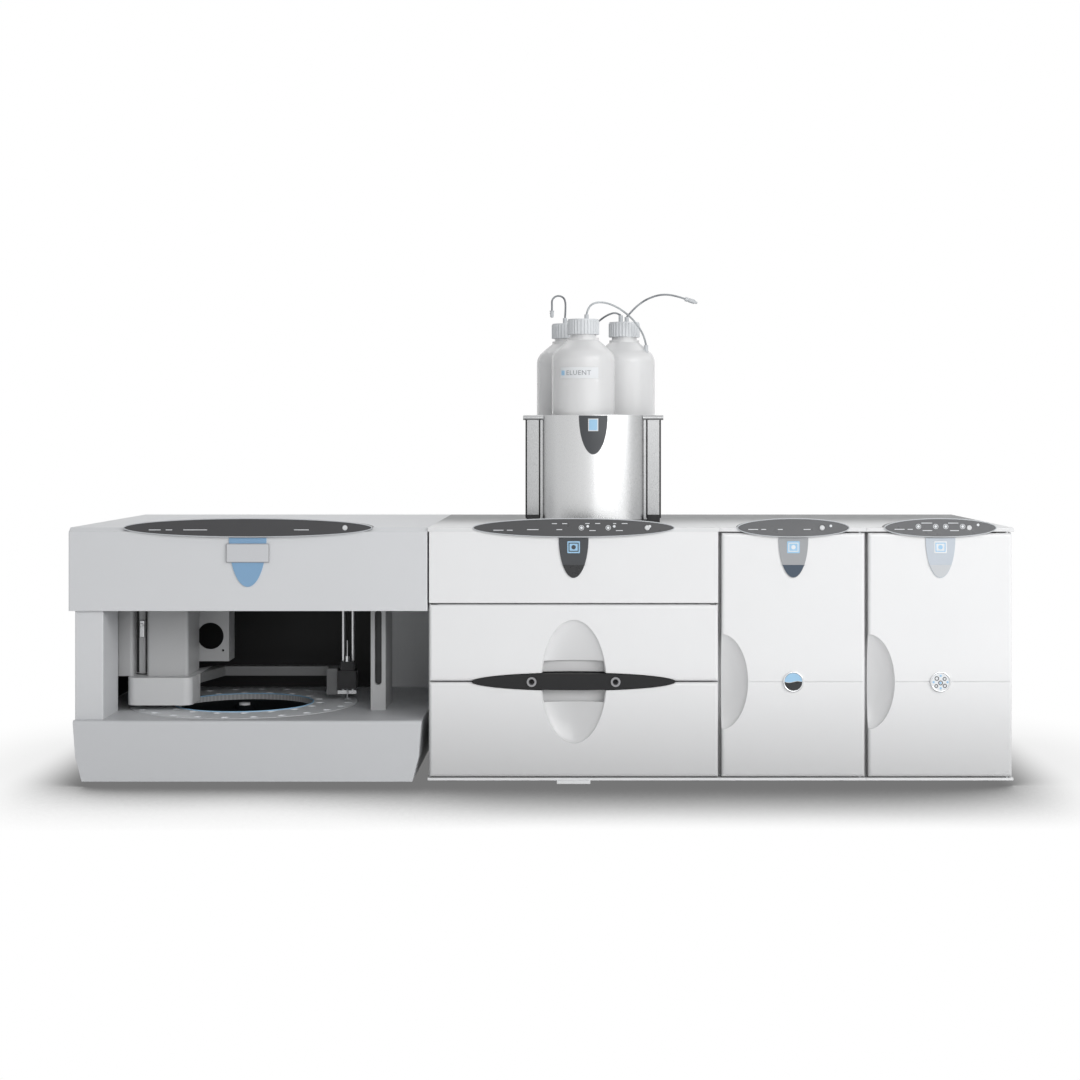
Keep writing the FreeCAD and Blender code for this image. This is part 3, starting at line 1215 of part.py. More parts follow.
def make_bottles(outside):
    """The blown bottles: thin walled, with a domed shoulder and an open neck."""
    wall = sheet.get("bottle_wall")
    radius, body = sheet.get("bottle_radius") - wall, sheet.get("bottle_body") - wall
    inside = turned_with_rims("bottle_inside", [
        ("0", "bottle_wall"), ("bottle_radius - bottle_wall", "bottle_wall"),
        ("bottle_radius - bottle_wall", "bottle_body - bottle_wall"),
        ("neck_radius - bottle_wall", BOTTLE_SHOULDER), ("neck_radius - bottle_wall", f"{BOTTLE_HEIGHT} + 1"),
        ("0", f"{BOTTLE_HEIGHT} + 1"),
    ], [(radius, wall, sheet.get("base_round") - wall), (radius, body, sheet.get("shoulder_round") - wall)])
    return copies("eluent_bottles", cut("bottle", outside, [inside]), BOTTLE_SPOTS, BOTTLE_Z)


def make_caps():
    """The screw caps, ribbed all round, each resting on its bottle's rim."""
    owner = new_body("cap_turned")
    profile = new_sketch(owner, "XZ_Plane")
    draw_outline(profile, [
        ("neck_radius + seat_gap", "0"), ("cap_radius - 1", "0"), ("cap_radius - 1", "cap_height"),
        ("0", "cap_height"), ("0", "cap_height - cap_wall"),
        ("neck_radius + seat_gap", "cap_height - cap_wall")])
    revolve(owner, profile)
    rib = new_sketch(owner, "XY_Plane", "0.5")
    draw_circle(rib, "(cap_radius - 1)", "0", "cap_rib")
    rib_pad = pad(owner, rib, "cap_height - 2.5")
    document.recompute()
    ring = owner.newObject("PartDesign::PolarPattern", "cap_rib_ring")
    ring.Originals = [rib_pad]
    axis = [item for item in owner.Origin.OriginFeatures if item.Role == "Z_Axis"][0]
    ring.Axis = (axis, [""])
    ring.Angle = 360
    ring.Occurrences = round(COUNTS["cap_ribs"])
    owner.Tip = ring
    return copies("bottle_caps", owner, BOTTLE_SPOTS, f"({CAP_TOP} - cap_height)")


def route_wire(route):
    """Straight runs joined by tangent arcs, each arc as large as its two runs allow."""
    points = [Vector(*point) for point in route]
    edges = []
    start = points[0]
    radii = []
    for before, corner, after in zip(points, points[1:], points[2:]):
        back, ahead = before - corner, after - corner
        shorter = min(back.Length, ahead.Length)
        half_turn = (math.pi - back.getAngle(ahead)) / 2
        reach = shorter * 0.45
        radii.append(reach / math.tan(half_turn))
        enter = corner + back.normalize() * reach
        leave = corner + ahead.normalize() * reach
        inward = (back + ahead).normalize()
        middle = corner + inward * (radii[-1] / math.cos(half_turn) - radii[-1])
        edges.append(Part.LineSegment(start, enter).toShape())
        edges.append(Part.Arc(enter, middle, leave).toShape())
        start = leave
    edges.append(Part.LineSegment(start, points[-1]).toShape())
    print("arc radii", " ".join(f"{radius:.0f}" for radius in radii))
    return Part.Wire(edges)


def make_tube(label, route):
    """One plastic tube along its route, as a plain solid."""
    wire = route_wire(route)
    spine = document.addObject("Part::Feature", label + "_route")
    spine.Shape = wire
    ring = document.addObject("Part::Circle", label + "_section")
    ring.setExpression("Radius", bound("tube_radius"))
    ahead = Vector(*route[1]) - Vector(*route[0])
    ring.Placement = FreeCAD.Placement(Vector(*route[0]), Rotation(Vector(0, 0, 1), ahead))
    piece = document.addObject("Part::Sweep", label)
    piece.Sections = [ring]
    piece.Spine = (spine, [f"Edge{number}" for number in range(1, len(wire.Edges) + 1)])
    piece.Solid = True
    piece.Frenet = False
    place(piece, TUBES_AT)
    document.recompute()
    expected = math.pi * sheet.get("tube_radius") ** 2 * wire.Length
    print(f"{label}: length {wire.Length:.0f}, volume {piece.Shape.Volume:.0f} against {expected:.0f}")
    return piece


# The four tubes, each from its fitting to its end, measured from over the shell's middle at the caps' top
HOOK_ROUTE = [
    (-47.45, 82.0, 10.0), (-46.45, 81.6, 24.0), (-46.85, 82.0, 41.0), (-53.65, 82.0, 47.6),
    (-63.05, 82.0, 47.6), (-69.85, 82.0, 41.0), (-69.45, 81.6, 31.5), (-69.65, 82.0, 23.0),
]
BRIDGE_ROUTE = [
    (-10.85, -46.0, 8.0), (-8.35, -45.4, 19.0), (1.15, -42.5, 27.5), (17.15, -36.0, 29.0),
    (34.15, -29.0, 24.0), (50.15, -20.0, 15.0), (66.15, -9.0, 2.0), (79.15, 2.0, -15.0),
    (85.75, 10.0, -29.0), (87.75, 13.0, -39.0),
]
LINK_ROUTE = [
    (-7.85, 67.0, -30.0), (-4.85, 65.0, -16.0), (3.15, 59.0, -3.0), (15.15, 52.0, 8.0),
    (28.15, 46.0, 15.0), (39.15, 41.5, 17.0), (46.15, 38.5, 12.0),
]
REACH_ROUTE = [
    (56.15, 36.0, 9.0), (62.15, 35.8, 16.0), (74.15, 36.0, 28.5), (91.15, 36.4, 40.0),
    (113.15, 36.0, 47.0), (135.15, 35.6, 45.5), (153.15, 36.0, 39.5),
]


def make_tube_fittings(bottle_outside):
    """The nuts that hold the tubes where they enter the caps and the bottle shoulders."""
    shoulder = f"({BOTTLE_Z} + bottle_body - nut_sink)"
    pieces = []
    for name, (at_x, at_y, at_z), low in (
            ("hook", HOOK_ROUTE[0], CAP_TOP), ("bridge", BRIDGE_ROUTE[0], CAP_TOP),
            ("link_far", LINK_ROUTE[-1], CAP_TOP), ("reach", REACH_ROUTE[0], CAP_TOP),
            ("bridge_far", BRIDGE_ROUTE[-1], shoulder), ("link", LINK_ROUTE[0], shoulder)):
        pieces.append(rod(f"nut_{name}", "fitting_radius", f"({CAP_TOP} + {at_z} - {low})",
                          (f"({SHELL_X} + {at_x})", f"({SHELL_Y} + {at_y})", low)))
    bottles = copies("bottle_forms", bottle_outside, BOTTLE_SPOTS, BOTTLE_Z)
    return cut("tube_fittings", fuse("tube_nuts", pieces), [bottles])


def make_tube_ends():
    """What hangs or points from the two free tubes: a small strainer and a connector."""
    at_x, at_y, at_z = HOOK_ROUTE[-1]
    strainer = rod("strainer", "fitting_radius", "strainer_length",
                   (f"{at_x}", f"{at_y}", f"({at_z} - strainer_length)"))
    turn = Vector(*REACH_ROUTE[-1]) - Vector(*REACH_ROUTE[-2])
    connector = document.addObject("Part::Cylinder", "connector")
    connector.setExpression("Radius", bound("fitting_radius"))
    connector.setExpression("Height", bound("connector_length"))
    connector.Placement = FreeCAD.Placement(Vector(*REACH_ROUTE[-1]), Rotation(Vector(0, 0, 1), turn))
    ends = fuse("tube_ends", [strainer, connector])
    place(ends, TUBES_AT)
    return ends


def export(nodes):
    """Checks every object and piece, then writes one file for each piece."""
    document.recompute()
    failed = [item.Label for item in document.Objects if "Invalid" in item.State or "Error" in item.State]
    if failed:
        raise SystemExit(f"failed: {failed}")
    os.makedirs("parts", exist_ok=True)
    for node in nodes:
        shape = node.Shape
        if shape.isNull() or not shape.isValid():
            raise SystemExit(f"{node.Label} has no valid shape")
        shape.exportStep(f"parts/{node.Label}.step")
        room = shape.BoundBox
        print(f"{node.Label:24s} solids {len(shape.Solids):3d} volume {shape.Volume / 1000:10.1f} cm3",
              f"x {room.XMin:8.1f} {room.XMax:8.1f}  y {room.YMin:8.1f} {room.YMax:8.1f}",
              f"z {room.ZMin:7.1f} {room.ZMax:7.1f}")


bottle_form = make_bottle_outside()

# Every piece of the instrument, one file each
export([
    make_base(),
    make_carousel(),
    make_left_column(),
    make_side_plate(),
    make_back_panel(),
    make_rear_housing(),
    make_hood(),
    make_arm_housing(),
    make_bracket_plate(),
    make_arm(),
    make_rods(),
    make_head(),
    make_needle(),
    make_pod("sampler_pod", SAMPLER_MIDDLE, "sampler_pod_width"),
    make_key("sampler_key", SAMPLER_MIDDLE, "sampler_pod_width"),
    make_shield("sampler_shield", SAMPLER_MIDDLE, "sampler_shield_width", "sampler_shield_height",
                DOOR_FRONT),
    make_detector_case(),
    make_fascia(),
    make_detector_door("upper_door", ("(split_height + door_line / 2)",
                                      "(fascia_bottom - door_line * 1.5 - split_height)"),
                       UPPER_PIN_Z, "(fascia_bottom - door_line)"),
    make_detector_door("lower_door", (DOOR_BOTTOM, f"(split_height - door_line / 2 - {DOOR_BOTTOM})"),
                       LOWER_PIN_Z, DOOR_BOTTOM),
    make_port_bar(),
    make_ports(),
    make_valve(),
    make_rotor(),
    make_columns(),
    make_cell(),
    make_suppressor(),
    make_drain_tab(),
    make_pod("detector_pod", DETECTOR_MIDDLE, "detector_pod_width"),
    make_key("detector_key", DETECTOR_MIDDLE, "detector_pod_width"),
    make_shield("detector_shield", DETECTOR_MIDDLE, "shield_width", "shield_height", DOOR_FRONT),
    module_case("pump_cabinet", PUMP_LEFT, "pump_width", "module_pod_width", TALL_BAY, "pump_bay_depth"),
    make_front_door("pump_door", PUMP_LEFT, "pump_width", "module_pod_width"),
    make_pod("pump_pod", PUMP_MIDDLE, "module_pod_width"),
    make_key("pump_key", PUMP_MIDDLE, "module_pod_width"),
    make_shield("pump_shield", PUMP_MIDDLE, "shield_width", "shield_height", DOOR_FRONT),
    make_disc("pump_disc", PUMP_LEFT, "pump_width"),
    make_pump_heads(),
    make_manifolds(),
    make_prime_knob(*PUMP_LEVELS[0]),
    make_prime_knob(*PUMP_LEVELS[1]),
    module_case("generator_cabinet", GENERATOR_LEFT, "generator_width", "module_pod_width", TALL_BAY,
                "generator_bay_depth"),
    make_front_door("generator_door", GENERATOR_LEFT, "generator_width", "module_pod_width"),
    make_pod("generator_pod", GENERATOR_MIDDLE, "module_pod_width"),
    make_key("generator_key", GENERATOR_MIDDLE, "module_pod_width"),
    make_shield("generator_shield", GENERATOR_MIDDLE, "shield_width", "shield_height", DOOR_FRONT),
    make_disc("generator_disc", GENERATOR_LEFT, "generator_width"),
    make_cartridge(),
    make_pins(),
    make_feet(),
    make_organizer(),
    make_organizer_shield(),
    make_bottles(bottle_form),
    make_caps(),
    make_tube_fittings(bottle_form),
    make_tube_ends(),
    make_tube("hook_tube", HOOK_ROUTE),
    make_tube("bridge_tube", BRIDGE_ROUTE),
    make_tube("link_tube", LINK_ROUTE),
    make_tube("reach_tube", REACH_ROUTE),
])
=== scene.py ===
"""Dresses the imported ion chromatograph: camera, tubes, finishes, printed marks, trims, floor and lamps."""
import math

import bmesh
import bpy
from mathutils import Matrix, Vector


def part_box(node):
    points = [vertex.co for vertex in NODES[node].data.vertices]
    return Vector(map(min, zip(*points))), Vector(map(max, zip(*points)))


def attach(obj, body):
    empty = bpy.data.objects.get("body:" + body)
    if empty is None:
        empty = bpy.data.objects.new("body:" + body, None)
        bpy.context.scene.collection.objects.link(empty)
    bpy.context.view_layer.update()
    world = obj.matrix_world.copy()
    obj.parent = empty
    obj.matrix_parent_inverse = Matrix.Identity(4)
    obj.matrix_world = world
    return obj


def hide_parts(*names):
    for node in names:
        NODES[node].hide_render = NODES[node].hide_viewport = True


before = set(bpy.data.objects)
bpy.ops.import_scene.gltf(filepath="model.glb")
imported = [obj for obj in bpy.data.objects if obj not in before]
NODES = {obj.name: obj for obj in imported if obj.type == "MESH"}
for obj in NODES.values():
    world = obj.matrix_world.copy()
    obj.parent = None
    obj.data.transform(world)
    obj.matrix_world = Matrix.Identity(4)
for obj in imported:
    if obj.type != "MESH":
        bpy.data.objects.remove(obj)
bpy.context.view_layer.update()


def make_camera():
    """The camera where the photograph was taken, level and looking straight at the fronts."""
    data = bpy.data.cameras.new("camera")
    data.lens = 64.72
    data.sensor_width = 36
    data.shift_x = -0.0463
    data.shift_y = -0.0944
    camera = bpy.data.objects.new("camera", data)
    camera.location = (0.0757, -3.265, 0.539)
    camera.rotation_euler = (math.radians(90), 0, 0)
    bpy.context.collection.objects.link(camera)
    bpy.context.scene.camera = camera


make_camera()


# Finishes. Colours are linear, and places are in metres in the frame of the whole row
class Finish:
    """A Principled material with its node tree at hand."""

    def __init__(self, name, colour, roughness, metallic=0.0, **sockets):
        self.material = bpy.data.materials.new(name)
        self.material.use_nodes = True
        self.nodes = self.material.node_tree.nodes
        self.links = self.material.node_tree.links
        self.shader = self.nodes["Principled BSDF"]
        self.shader.inputs["Base Color"].default_value = (*colour, 1)
        self.shader.inputs["Roughness"].default_value = roughness
        self.shader.inputs["Metallic"].default_value = metallic
        for socket, value in sockets.items():
            self.shader.inputs[socket.replace("_", " ")].default_value = value
        self.place = self.nodes.new("ShaderNodeTexCoord").outputs["Object"]
        self.parts = self.nodes.new("ShaderNodeSeparateXYZ")
        self.links.new(self.place, self.parts.inputs[0])

    def noise(self, scale, detail=3.0, stretch=(1, 1, 1)):
        """Noise over the surface, drawn out along an axis where its stretch is small."""
        mapping = self.nodes.new("ShaderNodeMapping")
        mapping.inputs["Scale"].default_value = stretch
        self.links.new(self.place, mapping.inputs["Vector"])
        texture = self.nodes.new("ShaderNodeTexNoise")
        texture.inputs["Scale"].default_value = scale
        texture.inputs["Detail"].default_value = detail
        self.links.new(mapping.outputs["Vector"], texture.inputs["Vector"])
        return texture.outputs["Fac"]

    def spread(self, value, low, high, to_low, to_high, smooth=False):
        """The value, from low to high, made into to_low to to_high."""
        node = self.nodes.new("ShaderNodeMapRange")
        if smooth:
            node.interpolation_type = "SMOOTHSTEP"
        for socket, number in zip(("From Min", "From Max", "To Min", "To Max"), (low, high, to_low, to_high)):
            node.inputs[socket].default_value = number
        self.links.new(value, node.inputs["Value"])
        return node.outputs["Result"]

    def math(self, operation, first, second):
        """A sum of two sockets or numbers."""
        node = self.nodes.new("ShaderNodeMath")
        node.operation = operation
        for socket, value in zip(node.inputs, (first, second)):
            if isinstance(value, (int, float)):
                socket.default_value = value
            else:
                self.links.new(value, socket)
        return node.outputs[0]

    def blend(self, factor, first, second):
        """One colour or another by a factor; each is a colour or a socket."""
        node = self.nodes.new("ShaderNodeMix")
        node.data_type = "RGBA"
        self.links.new(factor, node.inputs[0])
        for socket, value in zip(node.inputs[6:8], (first, second)):
            if isinstance(value, tuple):
                socket.default_value = (*value, 1)
            else:
                self.links.new(value, socket)
        return node.outputs[2]

    def tint(self, factor, first, second):
        """The base colour blended from two by a factor."""
        self.links.new(self.blend(factor, first, second), self.shader.inputs["Base Color"])

    def rough(self, value):
        """The roughness from a socket."""
        self.links.new(value, self.shader.inputs["Roughness"])

    def grain(self, height, strength, distance=0.0003, edge=0.0):
        """Bump from a height, over softened edges where edge is a radius."""
        bump = self.nodes.new("ShaderNodeBump")
        bump.inputs["Strength"].default_value = strength
        bump.inputs["Distance"].default_value = distance
        self.links.new(height, bump.inputs["Height"])
        if edge:
            soft = self.nodes.new("ShaderNodeBevel")
            soft.samples = 4
            soft.inputs["Radius"].default_value = edge
            self.links.new(soft.outputs["Normal"], bump.inputs["Normal"])
        self.links.new(bump.outputs["Normal"], self.shader.inputs["Normal"])


DOOR_FACE_Y = -0.257
TOP_SHEET_Z = 0.3992
UPRIGHT_X = -0.2845
ARM_BEAM_X = -0.5610
BASE_FRONT_Y = -0.255
BASE_DECK_Z = 0.115
CAROUSEL_AXIS = (-0.49445, -0.0590)
CAROUSEL_WEB_RADIUS = 0.1118
ORGANIZER_X = 0.0810


def shade(colour, factor):
    """The colour darkened by a factor."""
    return tuple(part * factor for part in colour)


def textured_paint(name, colour, roughness, painted_foot_shade=1.0, coat=0.0, painted_hollow_shade=1.0):
    """Powder coated sheet: fine orange peel, faint cloudiness, and painted shade, darker towards the bench
    and in hollows.
    """
    finish = Finish(name, colour, roughness, Coat_Weight=coat, Coat_Roughness=0.12)
    # Painted shade: the colour darkens from 0.21 m down towards the bench.
    height = finish.spread(finish.parts.outputs["Z"], -0.02, 0.21, 0, 1, smooth=True)
    based = finish.blend(height, shade(colour, painted_foot_shade), colour)
    clouds = finish.spread(finish.noise(6.0, 2.0), 0.3, 0.7, 0.0, 0.06)
    painted = finish.blend(clouds, based, shade(colour, 0.8))
    # Painted shade in the hollows behind the door faces, such as the grips, full from 14 mm deep.
    deep = finish.spread(finish.parts.outputs["Y"], DOOR_FACE_Y + 0.0003, DOOR_FACE_Y + 0.014, 0, 1)
    hollow = finish.blend(height, shade(colour, painted_foot_shade * painted_hollow_shade), shade(colour, painted_hollow_shade))
    finish.tint(deep, painted, hollow)
    finish.rough(finish.spread(finish.noise(40.0), 0.3, 0.7, roughness - 0.04, roughness + 0.05))
    finish.grain(finish.noise(900.0, 2.0), 0.12, edge=0.0008)
    return finish


def moulded(name, colour, roughness, grain_scale=1400.0, grain=0.15, **sockets):
    """Moulded plastic with a fine texture and slightly uneven gloss."""
    finish = Finish(name, colour, roughness, **sockets)
    finish.tint(finish.spread(finish.noise(14.0), 0.3, 0.7, 0.0, 0.25), colour, shade(colour, 0.86))
    finish.rough(finish.spread(finish.noise(60.0), 0.3, 0.7, roughness - 0.05, roughness + 0.06))
    finish.grain(finish.noise(grain_scale, 2.0), grain, edge=0.0004)
    return finish


def metal(name, colour, roughness, stretch=(1, 1, 60), strength=0.1):
    """Drawn or brushed metal, its fine lines across the stretched axis."""
    finish = Finish(name, colour, roughness, metallic=1.0)
    lines = finish.noise(260.0, 4.0, stretch)
    finish.tint(finish.spread(lines, 0.3, 0.7, 0.0, 0.35), colour, shade(colour, 0.82))
    finish.rough(finish.spread(lines, 0.3, 0.7, roughness - 0.06, roughness + 0.1))
    finish.grain(lines, strength, 0.0001)
    return finish


def case_finish():
    """The cases' enamel, with painted light and shade on the top sheet: pale at the front, darkening to grey
    at the back.
    """
    finish = Finish("case_enamel", (0.76, 0.765, 0.77), 0.42)
    on_top = finish.math("GREATER_THAN", finish.parts.outputs["Z"], TOP_SHEET_Z)
    # Painted light and shade on the top sheet, pale at the front and dark at the back.
    deep = finish.spread(finish.parts.outputs["Y"], -0.22, 0.12, 0, 1, smooth=True)
    sheet = finish.blend(deep, (0.84, 0.845, 0.85), (0.17, 0.175, 0.18))
    finish.tint(on_top, (0.76, 0.765, 0.77), sheet)
    finish.rough(finish.spread(finish.noise(40.0), 0.3, 0.7, 0.42, 0.52))
    finish.grain(finish.noise(900.0, 2.0), 0.12, edge=0.0008)
    return finish


def chamber_back_finish():
    """Black behind the sample chamber, pale enamel to the right of the narrow upright."""
    finish = Finish("chamber_back", (0.006, 0.006, 0.007), 0.6)
    beyond = finish.math("GREATER_THAN", finish.parts.outputs["X"], UPRIGHT_X)
    finish.tint(beyond, (0.006, 0.006, 0.007), (0.86, 0.87, 0.88))
    finish.grain(finish.noise(500.0, 2.0), 0.1)
    return finish


def base_finish():
    """The sampler base's enamel, with painted light making the deck behind its front lighter."""
    finish = Finish("base_enamel", (0.60, 0.61, 0.625), 0.45)
    # Painted light: the deck, shaded under the hood, is coloured lighter than the front.
    deck = finish.math("MULTIPLY", finish.math("GREATER_THAN", finish.parts.outputs["Y"], BASE_FRONT_Y),
                       finish.math("GREATER_THAN", finish.parts.outputs["Z"], BASE_DECK_Z))
    finish.tint(deck, (0.60, 0.61, 0.625), (0.93, 0.935, 0.94))
    finish.rough(finish.spread(finish.noise(40.0), 0.3, 0.7, 0.42, 0.52))
    finish.grain(finish.noise(900.0, 2.0), 0.12, edge=0.0008)
    return finish


def arm_finish():
    """Pale foot under the drive housing and a darker beam to the needle."""
    finish = Finish("arm_two_tone", (0.62, 0.625, 0.63), 0.4)
    along = finish.math("GREATER_THAN", finish.parts.outputs["X"], ARM_BEAM_X)
    finish.tint(along, (0.62, 0.625, 0.63), (0.17, 0.172, 0.175))
    finish.rough(finish.spread(finish.noise(60.0), 0.3, 0.7, 0.36, 0.48))
    finish.grain(finish.noise(900.0, 2.0), 0.1, edge=0.0006)
    return finish


# Painted shade: the white and pale enamels darken towards the bench, the white also in the door hollows.
WHITE = textured_paint("white_enamel", (0.84, 0.843, 0.848), 0.32, painted_foot_shade=0.66, coat=0.35,
                       painted_hollow_shade=0.78)
CASE_WHITE = case_finish()
BASE_PALE = base_finish()
PALE = textured_paint("pale_enamel", (0.69, 0.70, 0.715), 0.48, painted_foot_shade=0.86)
REAR = textured_paint("rear_enamel", (0.56, 0.58, 0.61), 0.5)
DRIVE = textured_paint("drive_enamel", (0.50, 0.505, 0.51), 0.4)
BLACK_SHEET = moulded("black_sheet", (0.008, 0.008, 0.010), 0.5)
CHAMBER_BACK = chamber_back_finish()
ARM = arm_finish()
POD_BLACK = moulded("pod_black", (0.045, 0.045, 0.048), 0.36, grain=0.05)
POD_DARK = moulded("pod_dark", (0.058, 0.059, 0.062), 0.32, grain=0.05)
POD_GREY = moulded("pod_grey", (0.100, 0.103, 0.108), 0.32, grain=0.05)
CHARCOAL = moulded("charcoal_gloss", (0.018, 0.019, 0.021), 0.28, grain=0.05)
BAR_BLACK = moulded("bar_black", (0.008, 0.008, 0.009), 0.5, grain=0.05, Specular_IOR_Level=0.35)
SLATE = moulded("slate_plastic", (0.05, 0.054, 0.06), 0.35)
SHIELD_GREY = moulded("shield_grey", (0.36, 0.37, 0.385), 0.35, grain=0.05)
SHIELD_FOOT = moulded("shield_foot", (0.05, 0.075, 0.11), 0.35, grain=0.05)
BLUE = moulded("blue_plastic", (0.23, 0.40, 0.60), 0.35)
PALE_BLUE = moulded("pale_blue_print", (0.36, 0.60, 0.82), 0.4, grain=0.03)
CLEAR_PLATE = moulded("clear_plate", (0.55, 0.60, 0.66), 0.2, Coat_Weight=0.5)
KEY_PALE = moulded("key_plastic", (0.70, 0.71, 0.72), 0.35)
KNOB_GREY = moulded("knob_plastic", (0.22, 0.225, 0.235), 0.35)
LIGHT_GREY = moulded("light_plastic", (0.58, 0.60, 0.62), 0.4)
CAP_GREY = moulded("cap_plastic", (0.70, 0.72, 0.74), 0.42)
PRINT_WHITE = moulded("white_print", (0.80, 0.82, 0.84), 0.5, grain=0.02)
PRINT_GREY = moulded("grey_print", (0.30, 0.31, 0.33), 0.5, grain=0.02)
RUBBER = moulded("black_rubber", (0.012, 0.012, 0.013), 0.7, grain_scale=700.0, grain=0.3)
STEEL = metal("turned_steel", (0.62, 0.63, 0.64), 0.28)
DARK_STEEL = metal("dark_steel", (0.30, 0.30, 0.31), 0.34)
CHROME = metal("chrome", (0.80, 0.81, 0.82), 0.1, strength=0.02)
ALUMINIUM = metal("aluminium", (0.55, 0.56, 0.58), 0.35)


def bottle_finish():
    """Blown polyethylene: milky, lets light through, with faint vertical flow lines."""
    finish = Finish("bottle_milk", (0.92, 0.925, 0.93), 0.24, Transmission_Weight=0.25, IOR=1.42)
    flow = finish.noise(30.0, 2.0, (1, 1, 0.08))
    finish.tint(finish.spread(flow, 0.3, 0.7, 0.0, 0.5), (0.94, 0.942, 0.945), (0.87, 0.873, 0.88))
    finish.grain(finish.noise(80.0, 2.0), 0.08, 0.0005)
    return finish


def carousel_finish():
    """White deck with its web and hub black as painted shade, parted at the deck's inner rim."""
    finish = Finish("carousel_deck_and_painted_shade", (0.6, 0.62, 0.64), 0.35)
    across = finish.math("SUBTRACT", finish.parts.outputs["X"], CAROUSEL_AXIS[0])
    deep = finish.math("SUBTRACT", finish.parts.outputs["Y"], CAROUSEL_AXIS[1])
    square = finish.math("ADD", finish.math("MULTIPLY", across, across), finish.math("MULTIPLY", deep, deep))
    radius = finish.math("SQRT", square, 0)
    deck = finish.spread(radius, CAROUSEL_WEB_RADIUS, CAROUSEL_WEB_RADIUS + 0.0003, 0, 1)
    # Painted shade: the web and hub inside the deck's rim are black, with little specular.
    finish.tint(deck, (0.004, 0.005, 0.006), (0.88, 0.90, 0.92))
    finish.rough(finish.spread(deck, 0, 1, 0.8, 0.35))
    finish.links.new(finish.spread(deck, 0, 1, 0.08, 0.5), finish.shader.inputs["Specular IOR Level"])
    finish.grain(finish.noise(500.0, 2.0), 0.1)
    return finish


def tube_finish(name, colour, inner):
    """Translucent tubing, its wall here and there darker over the bore."""
    finish = Finish(name, colour, 0.25, Transmission_Weight=0.25, IOR=1.38)
    finish.tint(finish.spread(finish.noise(55.0, 2.0), 0.35, 0.65, 0.0, 1.0), inner, colour)
    finish.grain(finish.noise(300.0, 2.0), 0.04)
    return finish


def polished_finish():
    """Brushed sheet, with a painted highlight on the bow's middle and painted shade greyer towards the wings.
    """
    finish = metal("brushed_sheet", (0.70, 0.71, 0.72), 0.26, stretch=(40, 40, 1), strength=0.05)
    across = finish.math("SUBTRACT", finish.parts.outputs["X"], ORGANIZER_X)
    aside = finish.math("ABSOLUTE", across, 0)
    # Painted highlight and shade: pale across the bow's middle, greyer towards the wings.
    edge = finish.spread(aside, 0.012, 0.092, 0, 1, smooth=True)
    streaks = finish.spread(finish.noise(22.0, 2.0, (1, 1, 0.02)), 0.3, 0.7, 0.86, 1.0)
    sheet = finish.blend(edge, (0.76, 0.765, 0.77), (0.46, 0.465, 0.47))
    grey = finish.nodes.new("ShaderNodeVectorMath")
    grey.operation = "SCALE"
    finish.links.new(sheet, grey.inputs[0])
    finish.links.new(streaks, grey.inputs["Scale"])
    finish.links.new(grey.outputs[0], finish.shader.inputs["Base Color"])
    return finish


POLISHED = polished_finish()
BOTTLE = bottle_finish()
CAROUSEL = carousel_finish()
TUBE = tube_finish("tube_grey", (0.42, 0.44, 0.46), (0.20, 0.21, 0.23))
CLEAR_TUBE = tube_finish("tube_clear", (0.62, 0.65, 0.67), (0.40, 0.42, 0.44))

# The finish of each CAD node that stays in view
NODE_FINISH = {
    WHITE: ("detector_fascia", "upper_door", "lower_door", "pump_door", "generator_door"),
    CASE_WHITE: ("detector_cabinet", "pump_cabinet", "generator_cabinet", "drain_tab"),
    PALE: ("sampler_hood", "left_column"),
    BASE_PALE: ("sampler_base",),
    REAR: ("rear_housing",),
    DRIVE: ("drive_housing", "side_plate", "bracket_plate"),
    ARM: ("sampler_arm",),
    BLACK_SHEET: ("suppressor", "needle_head"),
    CHAMBER_BACK: ("back_panel",),
    POD_BLACK: ("sampler_pod",),
    POD_DARK: ("detector_pod",),
    POD_GREY: ("pump_pod", "generator_pod"),
    BAR_BLACK: ("port_bar",),
    SLATE: ("detector_shield", "organizer_shield", "valve_rotor"),
    SHIELD_GREY: ("pump_shield",),
    BLUE: ("sampler_shield",),
    CLEAR_PLATE: ("generator_shield",),
    KEY_PALE: ("sampler_key", "detector_key", "pump_key", "generator_key"),
    KNOB_GREY: ("prime_knob_upper", "prime_knob_lower"),
    LIGHT_GREY: ("conductivity_cell", "tube_fittings"),
    CAP_GREY: ("bottle_caps",),
    RUBBER: ("rubber_feet",),
    STEEL: ("hinge_pins", "pump_heads", "needle", "guide_rods", "separation_columns"),
    DARK_STEEL: ("injection_ports",),
    CHROME: ("pump_disc", "generator_disc"),
    POLISHED: ("eluent_organizer",),
    ALUMINIUM: ("pump_manifolds", "eluent_cartridge", "injection_valve"),
    BOTTLE: ("eluent_bottles",),
    CAROUSEL: ("vial_carousel",),
}
for finish, names in NODE_FINISH.items():
    for name in names:
        for slot in NODES[name].material_slots:
            slot.material = finish.material


